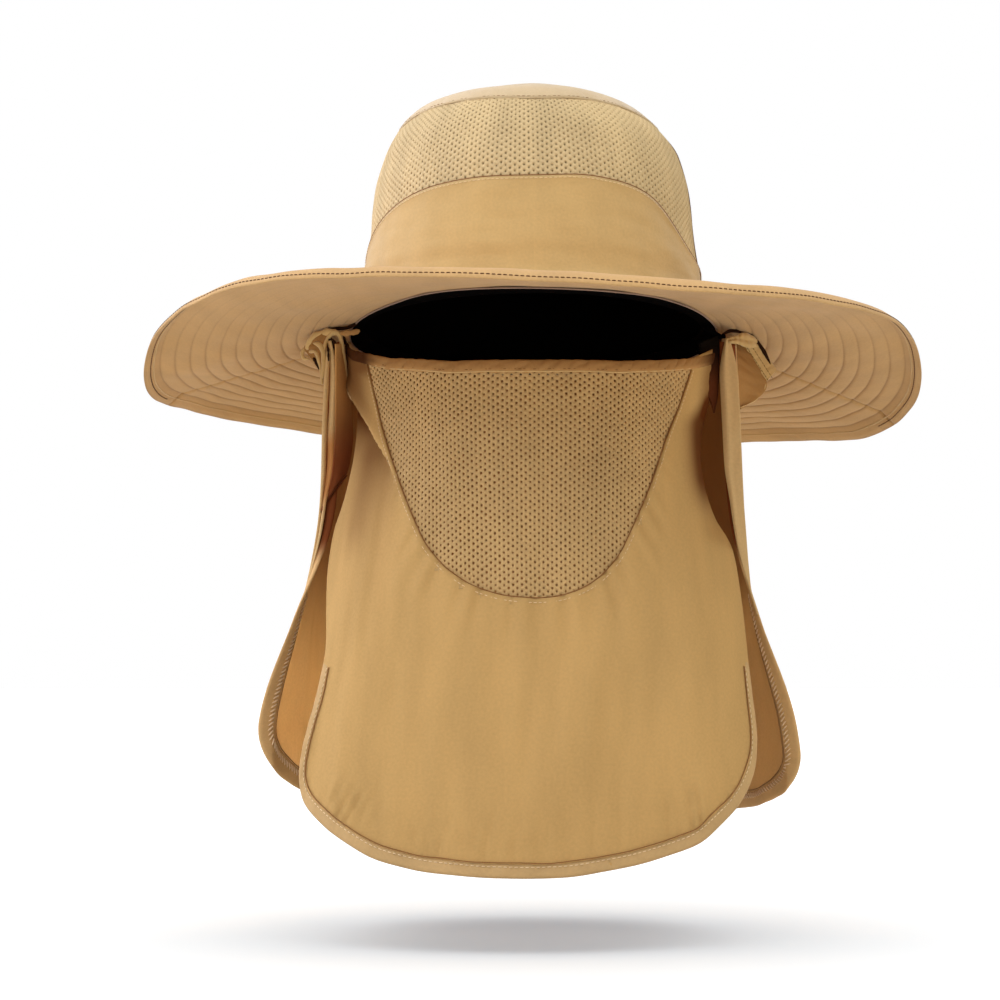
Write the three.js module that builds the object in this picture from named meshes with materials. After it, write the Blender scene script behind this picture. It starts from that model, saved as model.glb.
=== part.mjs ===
// Wide-brim bucket hat with a hanging face mask and a neck flap, in millimetres.
// +Z is up, the wearer looks along -Y, and the origin is the centre of the head opening,
// in the plane where the crown's wall stands on the brim.
import * as THREE from "three";
import { mergeVertices } from "three/addons/utils/BufferGeometryUtils.js";

// Cloth walls, and the gap that is left between two sewn pieces.
const CROWN_WALL = 1.2;
const BRIM_WALL = 2.2;
const BAND_WALL = 1.4;
const CLOTH_WALL = 1.0;
const HEM_WALL = 1.8;
const CASING_WALL = 2.4;
const GAP = 0.35;
const HEM_GAP = 1;

// Crown: half width and half depth at its foot, and how far its top leans to -X.
const CROWN_HALF_WIDTH = 92.5;
const CROWN_HALF_DEPTH = 97.5;
const CROWN_HEIGHT = 121;
const CROWN_LEAN = 2.4;

// The crown's outline from its foot to the middle of its top: the share of the foot's half
// width that is left at each height.
const CROWN_OUTLINE = [
  { height: 0, share: 1.0 },
  { height: 12, share: 0.96 },
  { height: 24, share: 0.935 },
  { height: 36, share: 0.914 },
  { height: 47, share: 0.9 },
  { height: 58, share: 0.891 },
  { height: 68, share: 0.877 },
  { height: 78, share: 0.852 },
  { height: 87, share: 0.822 },
  { height: 94, share: 0.785 },
  { height: 99.5, share: 0.745 },
  { height: 105.5, share: 0.68 },
  { height: 110, share: 0.608 },
  { height: 114, share: 0.5 },
  { height: 117.5, share: 0.37 },
  { height: 119.8, share: 0.22 },
  { height: 120.7, share: 0.1 },
  { height: CROWN_HEIGHT, share: 0 },
];
const TIP_SEAM_STEP = 10;
const TIP_SEAM_GAP = 0.1;

// Height of the seam between the plain band and the airy panel, one for each 45 degrees
// from the front, turning to +X.
const BAND_TOP = [57, 53, 37, 27, 24, 27, 42, 54];

const SWEATBAND_HEIGHT = 43;

// Brim: its edge's half width and half depth, and the margin that turns in under the crown.
const RIM_HALF_WIDTH = 198.2;
const RIM_HALF_DEPTH = 203;
const BRIM_MARGIN = 2.4;
const RIM_CURL = 4;
const RIM_CURL_SHARE = 0.07;
const BRIM_SEAM_ANGLE = 104;

// How far the rim hangs below the crown's foot, one for each 22.5 degrees from the front.
const RIM_DROP = [15, 16.5, 13, 15, 25.5, 39, 28.5, 23, 22, 22.5, 21, 24, 25.5, 14, 7, 11];

// Rows of stitching that quilt the brim, and how far the cloth puffs up between two rows.
const QUILT_ROWS = 14;
const QUILT_PUFF = 0.45;

// Face mask: level sections from the top down, each at its own height. Half of each section
// is given, from its middle to its side edge, and the other half mirrors it.
const MASK_SECTIONS = [
  { z: -10, midX: 0, frontY: -100, cheekX: 47, cheekY: -88, foldX: 81, foldY: -52, edgeX: 96.5, edgeY: -12 },
  { z: -65, midX: 0, frontY: -103, cheekX: 45, cheekY: -93, foldX: 75, foldY: -65, edgeX: 89.5, edgeY: -34 },
  { z: -120, midX: 0, frontY: -105, cheekX: 44, cheekY: -98, foldX: 79, foldY: -74, edgeX: 98.5, edgeY: -48 },
  { z: -175, midX: 0, frontY: -105, cheekX: 44, cheekY: -99, foldX: 83, foldY: -80, edgeX: 105, edgeY: -55 },
  { z: -230, midX: -2, frontY: -104, cheekX: 44, cheekY: -98, foldX: 85, foldY: -82, edgeX: 112, edgeY: -60 },
  { z: -285, midX: -3, frontY: -102, cheekX: 44, cheekY: -97, foldX: 85, foldY: -82, edgeX: 112, edgeY: -62 },
];
const MASK_TOP = [-38, -35.5, -24];
const MASK_CORNER_Z = -226;
const MASK_BOTTOM_Z = -286;
const MASK_HALF_LENGTH = 124;
const MASK_ROUNDING = 1.85;
const MASK_HEM = 7;
const CASING_HEIGHT = 7.5;

// The airy insert is a U: half width as a share of the mask's, its depth, how much of the
// width is lost on the way down, and how late its foot rounds off.
const INSERT_HALF_SHARE = 0.64;
const INSERT_DEPTH = 108;
const INSERT_TAPER = 0.46;
const INSERT_ROUNDING = 9;

// Neck flap: level sections, half of each from the middle of the back to the front edge.
// The hem goes on from that edge at its own angle: 180 turns it in, 0 spreads it out.
const FLAP_SECTIONS = [
  { z: -5, backY: 107, hipX: 43, hipY: 97, sideX: 79, sideY: 69, kneeX: 99.5, kneeY: 24 },
  { z: -55, backY: 110, hipX: 45, hipY: 100, sideX: 81, sideY: 71, kneeX: 101, kneeY: 25 },
  { z: -105, backY: 113, hipX: 46, hipY: 103, sideX: 83, sideY: 74, kneeX: 103, kneeY: 26 },
  { z: -155, backY: 116, hipX: 48, hipY: 106, sideX: 87, sideY: 77, kneeX: 108, kneeY: 30 },
  { z: -205, backY: 119, hipX: 50, hipY: 109, sideX: 91, sideY: 80, kneeX: 113, kneeY: 35 },
  { z: -255, backY: 120, hipX: 51, hipY: 110, sideX: 93, sideY: 82, kneeX: 115, kneeY: 37 },
];
const FLAP_EDGES = [
  { z: -5, leftX: 103.5, rightX: 103, edgeY: -23, hemAngle: 180 },
  { z: -55, leftX: 105.5, rightX: 104.5, edgeY: -24, hemAngle: 178 },
  { z: -105, leftX: 107, rightX: 105.5, edgeY: -20, hemAngle: 150 },
  { z: -155, leftX: 118, rightX: 112, edgeY: -12, hemAngle: 75 },
  { z: -205, leftX: 130.5, rightX: 125, edgeY: -5, hemAngle: 32 },
  { z: -255, leftX: 129, rightX: 129, edgeY: -3, hemAngle: 30 },
];
const FLAP_BOTTOM_Z = -245;
const FLAP_CORNER = 46;
const FLAP_HALF_LENGTH = 202;
const FLAP_HEM = 8.5;

// The flap falls in soft folds that deepen towards its foot and fade out at its front edges.
const FLAP_FOLDS = 4;
const FLAP_FOLD_DEPTH = 4;

// The upper front corners of the flap are folded outward under the brim. Each fold starts on
// the flap's edge at a height and reaches out to a point.
const CORNER_RIGHT = [
  { z: -9.5, outX: 112, outY: -18, outZ: -11 },
  { z: -20, outX: 121, outY: -13, outZ: -23 },
  { z: -32, outX: 120, outY: -12, outZ: -34 },
  { z: -46, outX: 110, outY: -18, outZ: -46.5 },
];
const CORNER_LEFT = [
  { z: -9, outX: 112, outY: -18, outZ: -10 },
  { z: -15, outX: 120, outY: -15, outZ: -15.5 },
  { z: -22, outX: 117, outY: -14, outZ: -22 },
  { z: -30, outX: 110, outY: -18, outZ: -30 },
];

// Grid steps of the faceted walls.
const AROUND = 42;
const OUTLINE_STEPS = 40;
const NUDGE = 1e-4;

const mix = THREE.MathUtils.lerp;
const clamp = THREE.MathUtils.clamp;

// A smooth line through evenly spaced values, at a place counted in steps.
function throughValues(values, place, closed = false) {
  const count = values.length;
  const last = count - 1;
  const whole = Math.floor(place);
  const step = closed ? whole : Math.min(Math.max(whole, 0), last - 1);
  const pick = (i) => values[closed ? ((i % count) + count) % count : Math.min(Math.max(i, 0), last)];
  const t = place - step;
  const [a, b, c, d] = [pick(step - 1), pick(step), pick(step + 1), pick(step + 2)];
  return b + 0.5 * t * (c - a + t * (2 * a - 5 * b + 4 * c - d + t * (3 * (b - c) + d - a)));
}

const column = (rows, name) => rows.map((row) => row[name]);

// The middle of a cloth wall is surface(u, v). Each point of a flat slab is moved to that
// surface, half a wall in or out along its normal.
function wallPoint(surface, wall, u, v, side) {
  const du = surface(u + NUDGE, v).sub(surface(u - NUDGE, v));
  const dv = surface(u, v + NUDGE).sub(surface(u, v - NUDGE));
  const normal = du.cross(dv).normalize();
  return surface(u, v).addScaledVector(normal, wall * side);
}

// Merges the points that faces share, and turns the faces outward if they face inward.
function closedBody(geometry) {
  geometry.deleteAttribute("normal");
  geometry.deleteAttribute("uv");
  const body = mergeVertices(geometry, 1e-3);
  const at = body.attributes.position;
  const index = body.index.array;
  const [a, b, c] = [new THREE.Vector3(), new THREE.Vector3(), new THREE.Vector3()];
  let volume = 0;
  for (let i = 0; i < index.length; i += 3) {
    [a, b, c].forEach((corner, k) => corner.fromBufferAttribute(at, index[i + k]));
    volume += a.dot(b.cross(c));
  }
  if (volume < 0) {
    for (let i = 0; i < index.length; i += 3) {
      [index[i + 1], index[i + 2]] = [index[i + 2], index[i + 1]];
    }
  }
  body.computeVertexNormals();
  return body;
}

// A sheet with four edges: u and v run from 0 to 1.
function sheet(surface, wall, across, down) {
  const slab = new THREE.BoxGeometry(1, 1, 1, across, down, 1);
  const at = slab.attributes.position;
  for (let i = 0; i < at.count; i++) {
    const u = Math.round((at.getX(i) + 0.5) * across) / across;
    const v = Math.round((at.getY(i) + 0.5) * down) / down;
    const side = Math.sign(at.getZ(i)) / 2;
    at.setXYZ(i, ...wallPoint(surface, wall, u, v, side));
  }
  return closedBody(slab);
}

// A closed ring: u is the turn from the front in whole turns, v runs from 0 to 1.
function ring(surface, wall, around, up) {
  const rising = Array.from({ length: up + 1 }, (_, i) => i / up);
  const outline = [
    ...rising.map((v) => new THREE.Vector2(2, v)),
    ...rising.toReversed().map((v) => new THREE.Vector2(1, v)),
    new THREE.Vector2(2, 0),
  ];
  const tube = new THREE.LatheGeometry(outline, around);
  const at = tube.attributes.position;
  for (let i = 0; i < at.count; i++) {
    const turn = Math.atan2(at.getX(i), at.getZ(i)) / (2 * Math.PI);
    const u = (((Math.round(turn * around) % around) + around) % around) / around;
    const v = Math.round(at.getY(i) * up) / up;
    const side = Math.hypot(at.getX(i), at.getZ(i)) > 1.5 ? 0.5 : -0.5;
    at.setXYZ(i, ...wallPoint(surface, wall, u, v, side));
  }
  return closedBody(tube);
}

function mesh(name, geometry, color, roughness) {
  const material = new THREE.MeshStandardMaterial({ color, roughness, metalness: 0 });
  const made = new THREE.Mesh(geometry, material);
  made.name = name;
  return made;
}

// A turn along an open outline, kept just inside both of its ends.
const outlineTurn = (u) => mix(0.001, 0.999, clamp(u, 0, 1));

// A point of the crown, at a turn from the front and a place counted in steps of the outline.
function crownPoint(turn, step, inset = 0) {
  const height = throughValues(column(CROWN_OUTLINE, "height"), step);
  const share = throughValues(column(CROWN_OUTLINE, "share"), step);
  const lean = CROWN_LEAN * (height / CROWN_HEIGHT) ** 6;
  const angle = 2 * Math.PI * turn;
  const x = (CROWN_HALF_WIDTH * share - inset) * Math.sin(angle) - lean;
  const y = -(CROWN_HALF_DEPTH * share - inset) * Math.cos(angle);
  return new THREE.Vector3(x, y, height);
}

// The outline step at which the crown reaches a height.
function stepAtHeight(height) {
  let [low, high] = [0, CROWN_OUTLINE.length - 1];
  for (let i = 0; i < 30; i++) {
    const middle = (low + high) / 2;
    if (throughValues(column(CROWN_OUTLINE, "height"), middle) < height) low = middle;
    else high = middle;
  }
  return low;
}

const bandTop = (turn) => throughValues(BAND_TOP, turn * BAND_TOP.length, true);

function crownBand() {
  const surface = (turn, v) => crownPoint(turn, stepAtHeight(mix(0.1, bandTop(turn) - GAP, v)));
  return ring(surface, CROWN_WALL, AROUND, 3);
}

function crownMesh() {
  const surface = (turn, v) => {
    const foot = stepAtHeight(bandTop(turn));
    return crownPoint(turn, mix(foot, TIP_SEAM_STEP - TIP_SEAM_GAP, v));
  };
  return ring(surface, CROWN_WALL, AROUND, 5);
}

// The tip is a round patch, bent from a square one so that it has no pole.
function crownTip() {
  const steps = CROWN_OUTLINE.length - 1 - TIP_SEAM_STEP;
  const surface = (u, v) => {
    const [p, q] = [2 * u - 1, 2 * v - 1];
    const x = p * Math.sqrt(1 - (q * q) / 2);
    const y = q * Math.sqrt(1 - (p * p) / 2);
    const share = Math.hypot(x, y);
    return crownPoint(Math.atan2(x, -y) / (2 * Math.PI), TIP_SEAM_STEP + (1 - share) * steps);
  };
  return sheet(surface, CROWN_WALL, 12, 12);
}

function sweatband() {
  const inset = (CROWN_WALL + BAND_WALL) / 2 + GAP;
  const surface = (turn, v) => crownPoint(turn, stepAtHeight(SWEATBAND_HEIGHT * v), inset);
  return ring(surface, BAND_WALL, AROUND, 3);
}

// A point of the brim's middle layer: share runs from the head opening to the rim.
function brimPoint(turn, share) {
  const angle = 2 * Math.PI * turn;
  const halfWidth = mix(CROWN_HALF_WIDTH - BRIM_MARGIN, RIM_HALF_WIDTH, share);
  const halfDepth = mix(CROWN_HALF_DEPTH - BRIM_MARGIN, RIM_HALF_DEPTH, share);
  const drop = throughValues(RIM_DROP, turn * RIM_DROP.length, true);
  const curl = Math.max(0, (share - 1 + RIM_CURL_SHARE) / RIM_CURL_SHARE) ** 2 * RIM_CURL;
  const flat = -BRIM_WALL / 2 - GAP;
  return new THREE.Vector3(halfWidth * Math.sin(angle), -halfDepth * Math.cos(angle), flat - drop * share - curl);
}

// The cloth puffs up between the rows of stitching, so each row is two steps of the grid.
function brimHalf(fromAngle, toAngle, across) {
  const steps = 2 * QUILT_ROWS;
  const place = (u, v) => brimPoint(mix(fromAngle, toAngle, u) / 360, v);
  const slab = new THREE.BoxGeometry(1, 1, 1, across, steps, 1);
  const at = slab.attributes.position;
  for (let i = 0; i < at.count; i++) {
    const u = Math.round((at.getX(i) + 0.5) * across) / across;
    const row = Math.round((at.getY(i) + 0.5) * steps);
    const puff = row % 2 ? QUILT_PUFF : 0;
    const side = Math.sign(at.getZ(i)) / 2;
    at.setXYZ(i, ...wallPoint(place, BRIM_WALL + 2 * puff, u, row / steps, side));
  }
  return closedBody(slab);
}

// The height just below the brim's lower face, over or beside a place.
function underBrim(place) {
  const turn = Math.atan2(place.x / RIM_HALF_WIDTH, -place.y / RIM_HALF_DEPTH) / (2 * Math.PI);
  const inner = brimPoint(turn, 0).setZ(0).length();
  const outer = brimPoint(turn, 1).setZ(0).length();
  const share = clamp((Math.hypot(place.x, place.y) - inner) / (outer - inner), 0, 1);
  return brimPoint(turn, share).z - BRIM_WALL / 2 - QUILT_PUFF - GAP;
}

// A point of the mask: across runs from -1 to 1 between its side edges, at a height.
function maskPoint(across, z) {
  const rows = MASK_SECTIONS;
  const level = (rows[0].z - z) / (rows[0].z - rows[1].z);
  const at = (name) => throughValues(column(rows, name), level);
  const side = 3 * Math.abs(across);
  const half = [
    [0, at("frontY")],
    [at("cheekX"), at("cheekY")],
    [at("foldX"), at("foldY")],
    [at("edgeX"), at("edgeY")],
  ];
  const xs = [-half[1][0], ...half.map((p) => p[0])];
  const ys = [half[1][1], ...half.map((p) => p[1])];
  const x = at("midX") + throughValues(xs, side + 1) * Math.sign(across);
  return new THREE.Vector3(x, throughValues(ys, side + 1), z);
}

// The mask's upper corners end just below the brim.
const maskCorner = underBrim(maskPoint(1, MASK_SECTIONS[0].z));
function maskTop(across) {
  return throughValues([MASK_TOP[1], ...MASK_TOP, maskCorner], 3 * Math.abs(across) + 1);
}

// The mask's outline, moved in by an inset: turn 0 is the left top corner, 0.5 the foot and
// 1 the right top corner. It returns the place across and the height.
function maskOutline(turn, inset, topInset) {
  const half = 1 - inset / MASK_HALF_LENGTH;
  const sideShare = 0.25;
  const fromTop = Math.min(turn, 1 - turn);
  const sign = turn < 0.5 ? -1 : 1;
  if (fromTop < sideShare) {
    return [sign * half, mix(maskTop(half) - topInset, MASK_CORNER_Z, fromTop / sideShare)];
  }
  const bend = (Math.PI / 2) * ((fromTop - sideShare) / (0.5 - sideShare));
  const power = 2 / MASK_ROUNDING;
  const depth = MASK_CORNER_Z - MASK_BOTTOM_Z - inset;
  return [sign * half * Math.cos(bend) ** power, MASK_CORNER_Z - depth * Math.sin(bend) ** power];
}

// The airy insert's outline, on the same turn.
function insertOutline(turn, inset) {
  const down = 1 - (1 - 2 * clamp(Math.min(turn, 1 - turn), 0, 0.5)) ** 2;
  const half = INSERT_HALF_SHARE - inset / MASK_HALF_LENGTH;
  const kept = (1 - INSERT_TAPER * down) * Math.sqrt(1 - down ** INSERT_ROUNDING);
  const across = (turn < 0.5 ? -1 : 1) * half * kept;
  return [across, maskTop(across) - CASING_HEIGHT - GAP - (INSERT_DEPTH - inset) * down];
}

// The mask's plain cloth runs round the insert, from the insert's outline to the hem.
function maskPanel() {
  const surface = (u, v) => {
    const turn = outlineTurn(u);
    const [innerAcross, innerZ] = insertOutline(turn, -GAP);
    const [outerAcross, outerZ] = maskOutline(turn, MASK_HEM + HEM_GAP, CASING_HEIGHT + GAP);
    const across = mix(innerAcross, outerAcross, v);
    const bow = maskTop(across) - mix(maskTop(innerAcross), maskTop(outerAcross), v);
    const nearTop = Math.max(0, 1 - 8 * Math.min(turn, 1 - turn));
    return maskPoint(across, mix(innerZ, outerZ, v) + bow * nearTop);
  };
  return sheet(surface, CLOTH_WALL, OUTLINE_STEPS, 5);
}

function maskInsert() {
  const lastTurn = 0.488;
  const surface = (u, v) => {
    const [across, z] = insertOutline(lastTurn * v, GAP);
    const place = mix(across, -across, u);
    const bow = maskTop(place) - maskTop(across);
    return maskPoint(place, z + bow * (1 - v) ** 3);
  };
  return sheet(surface, CLOTH_WALL, 12, 8);
}

function maskHem() {
  const surface = (u, v) => {
    const [across, z] = maskOutline(outlineTurn(u), MASK_HEM * v, 0);
    return maskPoint(across, z);
  };
  return sheet(surface, HEM_WALL, OUTLINE_STEPS, 1);
}

function maskCasing() {
  const half = 1 - (MASK_HEM + HEM_GAP) / MASK_HALF_LENGTH;
  const surface = (u, v) => {
    const across = mix(-half, half, u);
    return maskPoint(across, maskTop(across) - CASING_HEIGHT * v);
  };
  return sheet(surface, CASING_WALL, 24, 1);
}

// A point of the neck flap: along runs in millimetres from the middle of the back, and past
// the flap's length it goes on in the hem.
function flapPoint(along, z) {
  const level = (FLAP_SECTIONS[0].z - z) / (FLAP_SECTIONS[0].z - FLAP_SECTIONS[1].z);
  const at = (name) => throughValues(column(FLAP_SECTIONS, name), level);
  const edge = (name) => throughValues(column(FLAP_EDGES, name), level);
  const side = 4 * Math.min(Math.abs(along) / FLAP_HALF_LENGTH, 1);
  const xs = [-at("hipX"), 0, at("hipX"), at("sideX"), at("kneeX"), edge(along < 0 ? "leftX" : "rightX")];
  const ys = [at("hipY"), at("backY"), at("hipY"), at("sideY"), at("kneeY"), edge("edgeY")];
  const past = Math.max(0, Math.abs(along) - FLAP_HALF_LENGTH);
  const angle = THREE.MathUtils.degToRad(edge("hemAngle"));
  const x = throughValues(xs, side + 1) + past * Math.cos(angle);
  const y = throughValues(ys, side + 1) - past * Math.sin(angle);
  const fall = clamp(level / (FLAP_SECTIONS.length - 1), 0, 1);
  const deep = FLAP_FOLD_DEPTH * fall * (1 - (side / 4) ** 3);
  const push = 1 + (deep * Math.cos((Math.PI * FLAP_FOLDS * side) / 4)) / Math.hypot(x, y);
  return new THREE.Vector3(x * push * Math.sign(along), y * push, z);
}

const flapTop = (along) => underBrim(flapPoint(along, FLAP_SECTIONS[0].z));

// The flap's lower edge, with rounded front corners.
function flapBottom(along, inset) {
  const straight = FLAP_HALF_LENGTH + FLAP_HEM - FLAP_CORNER;
  const radius = FLAP_CORNER - inset;
  const into = clamp(Math.abs(along) - straight, 0, radius);
  return FLAP_BOTTOM_Z + FLAP_CORNER - Math.sqrt(radius * radius - into * into);
}

// Evenly spaced places, packed closer towards both front edges.
const towardsEdges = (u) => Math.sin((Math.PI / 2) * (2 * clamp(u, 0, 1) - 1));

function neckFlap() {
  const inset = FLAP_HEM + HEM_GAP;
  const surface = (u, v) => {
    const along = (FLAP_HALF_LENGTH - HEM_WALL) * towardsEdges(u);
    return flapPoint(along, mix(flapTop(along), flapBottom(along, inset), v));
  };
  return sheet(surface, CLOTH_WALL, 34, 7);
}

// The flap's hem goes down one front edge, along the foot and up the other front edge.
function flapHem() {
  const [sideShare, cornerShare] = [0.14, 0.3];
  const cornerZ = FLAP_BOTTOM_Z + FLAP_CORNER;
  const straight = FLAP_HALF_LENGTH + FLAP_HEM - FLAP_CORNER;
  const outline = (turn, inset) => {
    const fromTop = Math.min(turn, 1 - turn);
    const sign = turn < 0.5 ? -1 : 1;
    const radius = FLAP_CORNER - inset;
    if (fromTop < sideShare) {
      const z = mix(flapTop(straight + radius), cornerZ, fromTop / sideShare);
      return [sign * (straight + radius), z];
    }
    if (fromTop < cornerShare) {
      const bend = (Math.PI / 2) * ((fromTop - sideShare) / (cornerShare - sideShare));
      return [sign * (straight + radius * Math.cos(bend)), cornerZ - radius * Math.sin(bend)];
    }
    const rest = (0.5 - fromTop) / (0.5 - cornerShare);
    return [sign * straight * rest, FLAP_BOTTOM_Z + inset];
  };
  const surface = (u, v) => {
    return flapPoint(...outline(outlineTurn(u), FLAP_HEM * v));
  };
  return sheet(surface, HEM_WALL, 52, 1);
}

// A folded corner, on the right for side 1 and on the left for side -1.
function foldedCorner(rows, side) {
  const clear = HEM_WALL / 2 + GAP;
  const surface = (u, v) => {
    const at = (name) => throughValues(column(rows, name), v * (rows.length - 1));
    const edge = flapPoint(side * FLAP_HALF_LENGTH, at("z"));
    const x = mix(Math.abs(edge.x) + clear, at("outX"), u);
    const y = mix(edge.y, at("outY"), u) - 2 * Math.sin(Math.PI * u);
    return new THREE.Vector3(side * x, y, mix(edge.z, at("outZ"), u));
  };
  return sheet(surface, HEM_WALL, 4, 6);
}

const SAND = 0xc9a56c;
const SAND_SHADE = 0xb58f5c;
const AIRY = 0xc2a878;
const BLACK = 0x0b0a09;

const seamBack = 360 - BRIM_SEAM_ANGLE;
const seamSlit = 0.15;
const frontSteps = Math.round((AROUND * 2 * BRIM_SEAM_ANGLE) / 360);

const hat = new THREE.Group();
hat.name = "bucket_hat_with_neck_flap";
hat.add(
  mesh("crown_tip", crownTip(), SAND, 0.85),
  mesh("crown_mesh", crownMesh(), AIRY, 0.9),
  mesh("crown_band", crownBand(), SAND, 0.85),
  mesh("sweatband", sweatband(), BLACK, 0.95),
  mesh("brim_front", brimHalf(seamSlit - BRIM_SEAM_ANGLE, BRIM_SEAM_ANGLE - seamSlit, frontSteps), SAND, 0.85),
  mesh("brim_back", brimHalf(BRIM_SEAM_ANGLE, seamBack, AROUND - frontSteps), SAND, 0.85),
  mesh("mask_panel", maskPanel(), SAND, 0.8),
  mesh("mask_mesh", maskInsert(), AIRY, 0.9),
  mesh("mask_casing", maskCasing(), SAND_SHADE, 0.85),
  mesh("mask_hem", maskHem(), SAND_SHADE, 0.85),
  mesh("flap_corner_left", foldedCorner(CORNER_LEFT, -1), SAND_SHADE, 0.85),
  mesh("flap_corner_right", foldedCorner(CORNER_RIGHT, 1), SAND_SHADE, 0.85),
  mesh("neck_flap", neckFlap(), SAND, 0.8),
  mesh("neck_flap_hem", flapHem(), SAND_SHADE, 0.85),
);

export default hat;
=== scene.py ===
from math import cos, pi, radians, sin

import bpy
import numpy as np
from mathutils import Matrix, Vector


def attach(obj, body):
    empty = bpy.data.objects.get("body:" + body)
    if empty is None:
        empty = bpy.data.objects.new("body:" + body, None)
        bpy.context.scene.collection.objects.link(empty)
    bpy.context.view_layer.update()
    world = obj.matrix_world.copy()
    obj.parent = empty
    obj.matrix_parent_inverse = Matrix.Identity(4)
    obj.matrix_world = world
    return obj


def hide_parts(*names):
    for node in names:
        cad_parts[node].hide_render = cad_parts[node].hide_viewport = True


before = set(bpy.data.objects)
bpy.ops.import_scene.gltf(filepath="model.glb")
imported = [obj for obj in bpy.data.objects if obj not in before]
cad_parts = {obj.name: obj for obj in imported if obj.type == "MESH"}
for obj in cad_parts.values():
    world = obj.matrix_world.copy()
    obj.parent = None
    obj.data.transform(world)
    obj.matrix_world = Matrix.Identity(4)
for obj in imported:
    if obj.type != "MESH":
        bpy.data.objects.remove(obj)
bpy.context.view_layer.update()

# Every length below is in millimetres and is scaled to metres when a mesh is made.
MM = 0.001

# Crown, as in the solids: its foot, height and outline.
CROWN_HALF_WIDTH = 92.5
CROWN_HALF_DEPTH = 97.5
CROWN_HEIGHT = 121
CROWN_LEAN = 2.4
CROWN_OUTLINE = [
    (0, 1.0), (12, 0.96), (24, 0.935), (36, 0.914), (47, 0.9), (58, 0.891), (68, 0.877), (78, 0.852),
    (87, 0.822), (94, 0.785), (99.5, 0.745), (105.5, 0.68), (110, 0.608), (114, 0.5), (117.5, 0.37),
    (119.8, 0.22), (120.7, 0.1), (121, 0),
]
TIP_SEAM_STEP = 10
SWEATBAND_HEIGHT = 43

# Each list of 16 that follows goes round the hat in steps of 22.5 degrees, from the front towards +X.
# The height of the band's seam, and how much higher than in the solids the tip's seam lies on the cloth.
BAND_SEAM = [57.3, 58.3, 52.5, 31.5, 25, 23, 21, 22, 23, 22, 21, 24, 33, 46, 54.5, 57.3]
TIP_SEAM_RISE = [2, 4.5, 4, 1, 0, 0, 0, 0, 0, 0, 0, 0, 0.5, 3, 5, 4.5]

# Brim, as in the solids.
RIM_HALF_WIDTH = 198.2
RIM_HALF_DEPTH = 203
BRIM_MARGIN = 2.4
BRIM_WALL = 2.2
BRIM_GAP = 0.35
BRIM_INNER_RADIUS = 95
BRIM_WIDTH = 106
RIM_CURL = 5.2
RIM_CURL_SHARE = 0.09
BRIM_SEAM_ANGLE = 104
RIM_DROP = [15, 17, 13.2, 13, 30, 37.5, 29, 23, 22, 22.5, 21.5, 24, 26.5, 11.2, 5, 10]
QUILT_ROWS = 14
QUILT_PUFF = 0.45

# Face mask, as in the solids: z, midX, frontY, cheekX, cheekY, foldX, foldY, edgeX, edgeY.
MASK_SECTIONS = np.array([
    (-10, 0, -100, 47, -88, 81, -52, 96.5, -12),
    (-65, 0, -103, 45, -93, 75, -65, 89.5, -34),
    (-120, 0, -105, 44, -98, 79, -74, 98.5, -48),
    (-175, 0, -105, 44, -99, 83, -80, 105, -55),
    (-230, -2, -104, 44, -98, 85, -82, 112, -60),
    (-285, -3, -102, 44, -97, 85, -82, 112, -62),
])
MASK_HALF_LENGTH = 124
MASK_HEM = 7

# Neck flap, as in the solids: z, backY, hipX, hipY, sideX, sideY, kneeX, kneeY.
FLAP_SECTIONS = np.array([
    (-5, 107, 43, 97, 79, 69, 99.5, 24),
    (-55, 110, 45, 100, 81, 71, 101, 25),
    (-105, 113, 46, 103, 83, 74, 103, 26),
    (-155, 116, 48, 106, 87, 77, 108, 30),
    (-205, 119, 50, 109, 91, 80, 113, 35),
    (-255, 120, 51, 110, 93, 82, 115, 37),
])
# z, leftX, rightX, edgeY, hemAngle
FLAP_EDGES = np.array([
    (-5, 104.5, 103, -23, 180),
    (-55, 105.8, 104.5, -24, 178),
    (-105, 107.8, 106.6, -20, 150),
    (-155, 118, 112, -12, 75),
    (-205, 130.5, 125, -5, 32),
    (-255, 129, 129, -3, 30),
])
FLAP_BOTTOM_Z = -245
FLAP_CORNER_LEFT = 36
FLAP_CORNER_RIGHT = 26
FLAP_LIFT_LEFT = 4
FLAP_HALF_LENGTH = 202
FLAP_HEM = 8.5
FLAP_FOLDS = 4
FLAP_FOLD_DEPTH = 4
FLAP_STITCHED_Z = -140
FLAP_WORN_DROP = 6.5

# Half the thickness of the thin cloth of mask and flap, of the folded corners, and of the crown's cloth.
THIN_HALF = 0.35
FOLD_HALF = 0.45
CROWN_CLOTH_HALF = 0.6


def mix(a, b, t):
    return a + (b - a) * t


def smooth(low, high, value):
    t = np.clip((value - low) / (high - low), 0, 1)
    return t * t * (3 - 2 * t)


def shares(count):
    return np.linspace(0, 1, count)


def ring(count):
    return np.arange(count) / count


def grid(rows, columns):
    return np.meshgrid(rows, columns, indexing="ij")


def unit(vectors):
    return vectors / np.maximum(np.linalg.norm(vectors, axis=-1, keepdims=True), 1e-9)


def joined(*parts):
    return np.stack(parts, -1)


def run_of(points):
    """How far along a line each of its points is."""
    return np.concatenate([[0], np.cumsum(np.linalg.norm(np.diff(points, axis=0), axis=1))])


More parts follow.
